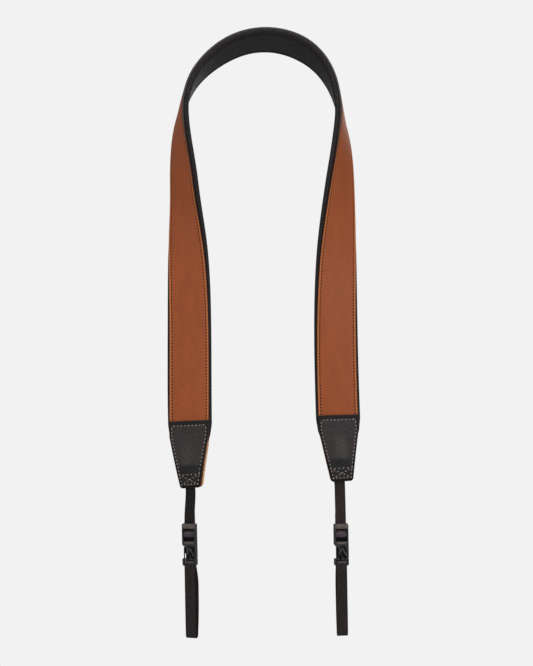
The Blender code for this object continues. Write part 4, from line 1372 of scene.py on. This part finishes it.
class STRAP_OT_webbing(bpy.types.Operator):
    """Make the webbing of both ends and the closed lug loops"""

    bl_idname = "strap.webbing"
    bl_label = "Webbing and Loops"

    def execute(self, context):
        sizes, colours = context.scene.strap_sizes, context.scene.strap_colours
        core = woven_cloth(colours, "webbing_core", 0.6)
        weave = woven_cloth(colours, "webbing_weave", 1.1, (1.05, 0.98, 0.96))
        # Painted light: one webbing made lighter on the right and darker on the left, as the light
        # falls on each side
        for side, lift in (("left", 0.45), ("right", 1.7)):
            points, across = hanging_webbing(side, WEBBING_RING)
            wear_and_side_light = woven_cloth(colours, "side_lit_hanging_weave_" + side, lift, (1.05, 0.98, 0.94))
            strip, threads = make_ribbon("webbing_strip_" + side, sizes, points, across, core, wear_and_side_light)
            ride_as(strip, "webbing", "webbing_" + side)
            ride_as(threads, "webbing")
            points, across = lug_loop_line(side, WEBBING_RING)
            loop, threads = make_ribbon("lug_loop_strip_" + side, sizes, points, across, core, weave,
                                        closed=True)
            ride_as(loop, "webbing", "lug_loop_" + side)
            ride_as(threads, "webbing")
        return {"FINISHED"}


def block(shape, box, seat=0.0):
    """Add one box, with soft edges where it has a bevel, to a shape in a buckle's frame."""
    made = bmesh.new()
    for x in box.across:
        for y in box.depth:
            for z in box.height:
                made.verts.new((x * MM, seat + y * MM, z * MM))
    bmesh.ops.convex_hull(made, input=made.verts)
    bmesh.ops.dissolve_limit(made, angle_limit=radians(2), verts=made.verts, edges=made.edges)
    if box.bevel:
        bmesh.ops.bevel(made, geom=made.edges[:], offset=box.bevel * MM, segments=2, affect="EDGES",
                        profile=0.6)
    mesh = bpy.data.meshes.new("block")
    made.to_mesh(mesh)
    made.free()
    shape.from_mesh(mesh)
    bpy.data.meshes.remove(mesh)


def ridge(shape, line, width, front, back):
    """Add a low ridge along a line of places in millimetres, narrow at both ends."""
    line = np.array(line) * MM
    wanted = np.linspace(0, len(line) - 1, 6 * len(line))
    points = np.stack([np.interp(wanted, range(len(line)), line[:, i]) for i in range(2)], axis=1)
    points = relax(np.column_stack([points, np.zeros(len(points))]), 6)[:, :2]
    run = np.gradient(points, axis=0)
    run /= np.linalg.norm(run, axis=1)[:, None]
    normal = np.stack([-run[:, 1], run[:, 0]], axis=1)
    share = np.linspace(0, 1, len(points))
    half = width * MM / 2 * (0.35 + 0.65 * np.sin(pi * share) ** 0.5)
    rows = []
    for offset, depth in ((-1.0, back), (-0.8, front), (0.8, front), (1.0, back)):
        place = points + normal * (half * offset)[:, None]
        rows.append([shape.verts.new((x, depth, z)) for x, z in place])
    for first, second in zip(rows, rows[1:] + rows[:1]):
        for i in range(len(points) - 1):
            shape.faces.new((first[i], second[i], second[i + 1], first[i + 1]))
    shape.faces.new([row[0] for row in rows])
    shape.faces.new([row[-1] for row in reversed(rows)])


def barrel(shape, fold):
    """Add a round fold of cloth that stands out of a window."""
    share = np.linspace(0, 1, 17)
    levels = (fold.height[1] + (fold.height[0] - fold.height[1]) * share) * MM
    front = (fold.seat - fold.swell * np.sin(pi * share) ** 0.5) * MM
    places = np.linspace(fold.across[0], fold.across[1], 9) * MM
    droop = FOLD_DROOP * np.abs(np.linspace(-1, 1, 9)) ** 4
    root = fold.seat * MM + FOLD_ROOT
    outline = list(zip(front, levels)) + [(root, z) for z in levels[::-1]]
    rings = [[shape.verts.new((x, y + fall, z)) for y, z in outline]
             for x, fall in zip(places, droop)]
    count = len(outline)
    for first, second in zip(rings, rings[1:]):
        for i in range(count):
            shape.faces.new((first[i], first[(i + 1) % count], second[(i + 1) % count], second[i]))
    shape.faces.new(rings[0])
    shape.faces.new(rings[-1][::-1])


def as_piece(name, shape, side, finish, slot):
    """Turn a shape in a buckle's frame into a finished piece."""
    bmesh.ops.transform(shape, matrix=hardware_frame(side), verts=shape.verts)
    piece = dress(name, shape, bpy.data.meshes.new(name), finish, BUCKLE_SHARP)
    ride_as(piece, slot)


class STRAP_OT_buckles(bpy.types.Operator):
    """Finish both halves of each buckle, and add their moulded relief with painted highlights, dark
    blocks and strips of painted shade, and webbing folds with a painted highlight
    """

    bl_idname = "strap.buckles"
    bl_label = "Buckles"

    def execute(self, context):
        colours = context.scene.strap_colours
        plastic = moulded_plastic(colours, "black_plastic")
        # Painted highlight: a lighter, warmer copy of the black plastic for the top bar and the
        # cross-bar
        wear_and_highlight = moulded_plastic(colours, "painted_highlight_plastic", 6.5, 0.3, (1.1, 0.95, 0.82))
        # Painted highlight: a lighter copy of the black plastic for the hook's raised ridges
        ridge_highlight = moulded_plastic(colours, "painted_highlight_ridge_plastic", 4.0, 0.4, (1.0, 0.95, 0.9))
        # Painted shade: a near-black copy of the plastic for the dark blocks and for the dark strips
        # on the hook
        shade = moulded_plastic(colours, "painted_shade_plastic", 0.25, 0.05)
        # Painted highlight: a lighter, bluish copy of the webbing for its folds in the buckle's
        # windows, lit from above
        fold_highlight_cloth = woven_cloth(colours, "painted_highlight_webbing", 2.8, (0.95, 0.97, 1.25))
        for name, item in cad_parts.items():
            if name.startswith("buckle"):
                item.data.materials.clear()
                item.data.materials.append(plastic)
        for side in SIDES:
            shape = bmesh.new()
            for box in BUCKLE_BARS:
                block(shape, box, BUCKLE_FRONT)
            as_piece("buckle_bars_" + side, shape, side, wear_and_highlight, "buckle")
            shape = bmesh.new()
            for line, width in HOOK_RIDGES:
                ridge(shape, line, width, HOOK_FACE - RIDGE_HEIGHT, HOOK_ROOT)
            as_piece("buckle_relief_" + side, shape, side, ridge_highlight, "buckle")
            shape = bmesh.new()
            for box in BUCKLE_SHADE_BLOCKS:
                block(shape, box)
            # Painted shade: dark strips laid a little in front of the hook's face
            for line, width in HOOK_SHADE_LINES:
                ridge(shape, line, width, HOOK_FACE - SHADE_LINE_HEIGHT, HOOK_ROOT)
            as_piece("buckle_painted_shade_" + side, shape, side, shade, "buckle")
            shape = bmesh.new()
            for fold in WINDOW_FOLDS:
                barrel(shape, fold)
            as_piece("webbing_fold_" + side, shape, side, fold_highlight_cloth, "webbing")
        return {"FINISHED"}


class STRAP_PT_panel(bpy.types.Panel):
    """Panel that lists the strap's pieces"""

    bl_idname = "STRAP_PT_panel"
    bl_label = "Camera Neck Strap"
    bl_space_type = "VIEW_3D"
    bl_region_type = "UI"
    bl_category = "Strap"

    def draw(self, context):
        for operator in OPERATORS:
            self.layout.operator(operator.bl_idname)
        for group in (context.scene.strap_sizes, context.scene.strap_colours):
            for name in group.bl_rna.properties.keys():
                if name not in {"rna_type", "name"}:
                    self.layout.prop(group, name)


OPERATORS = (STRAP_OT_stage, STRAP_OT_lining, STRAP_OT_leather, STRAP_OT_tabs, STRAP_OT_webbing,
             STRAP_OT_buckles)
CLASSES = (StrapSizes, StrapColours, *OPERATORS, STRAP_PT_panel)


def register():
    """Register the strap's classes and its settings."""
    for kind in CLASSES:
        bpy.utils.register_class(kind)
    bpy.types.Scene.strap_sizes = PointerProperty(type=StrapSizes)
    bpy.types.Scene.strap_colours = PointerProperty(type=StrapColours)


def unregister():
    """Take the strap's classes and settings away."""
    del bpy.types.Scene.strap_colours
    del bpy.types.Scene.strap_sizes
    for kind in reversed(CLASSES):
        bpy.utils.unregister_class(kind)


def main():
    """Build the finished strap."""
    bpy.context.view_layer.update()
    register()
    bpy.ops.strap.stage()
    bpy.ops.strap.lining()
    bpy.ops.strap.leather()
    bpy.ops.strap.tabs()
    bpy.ops.strap.webbing()
    bpy.ops.strap.buckles()


if __name__ == "__main__":
    main()
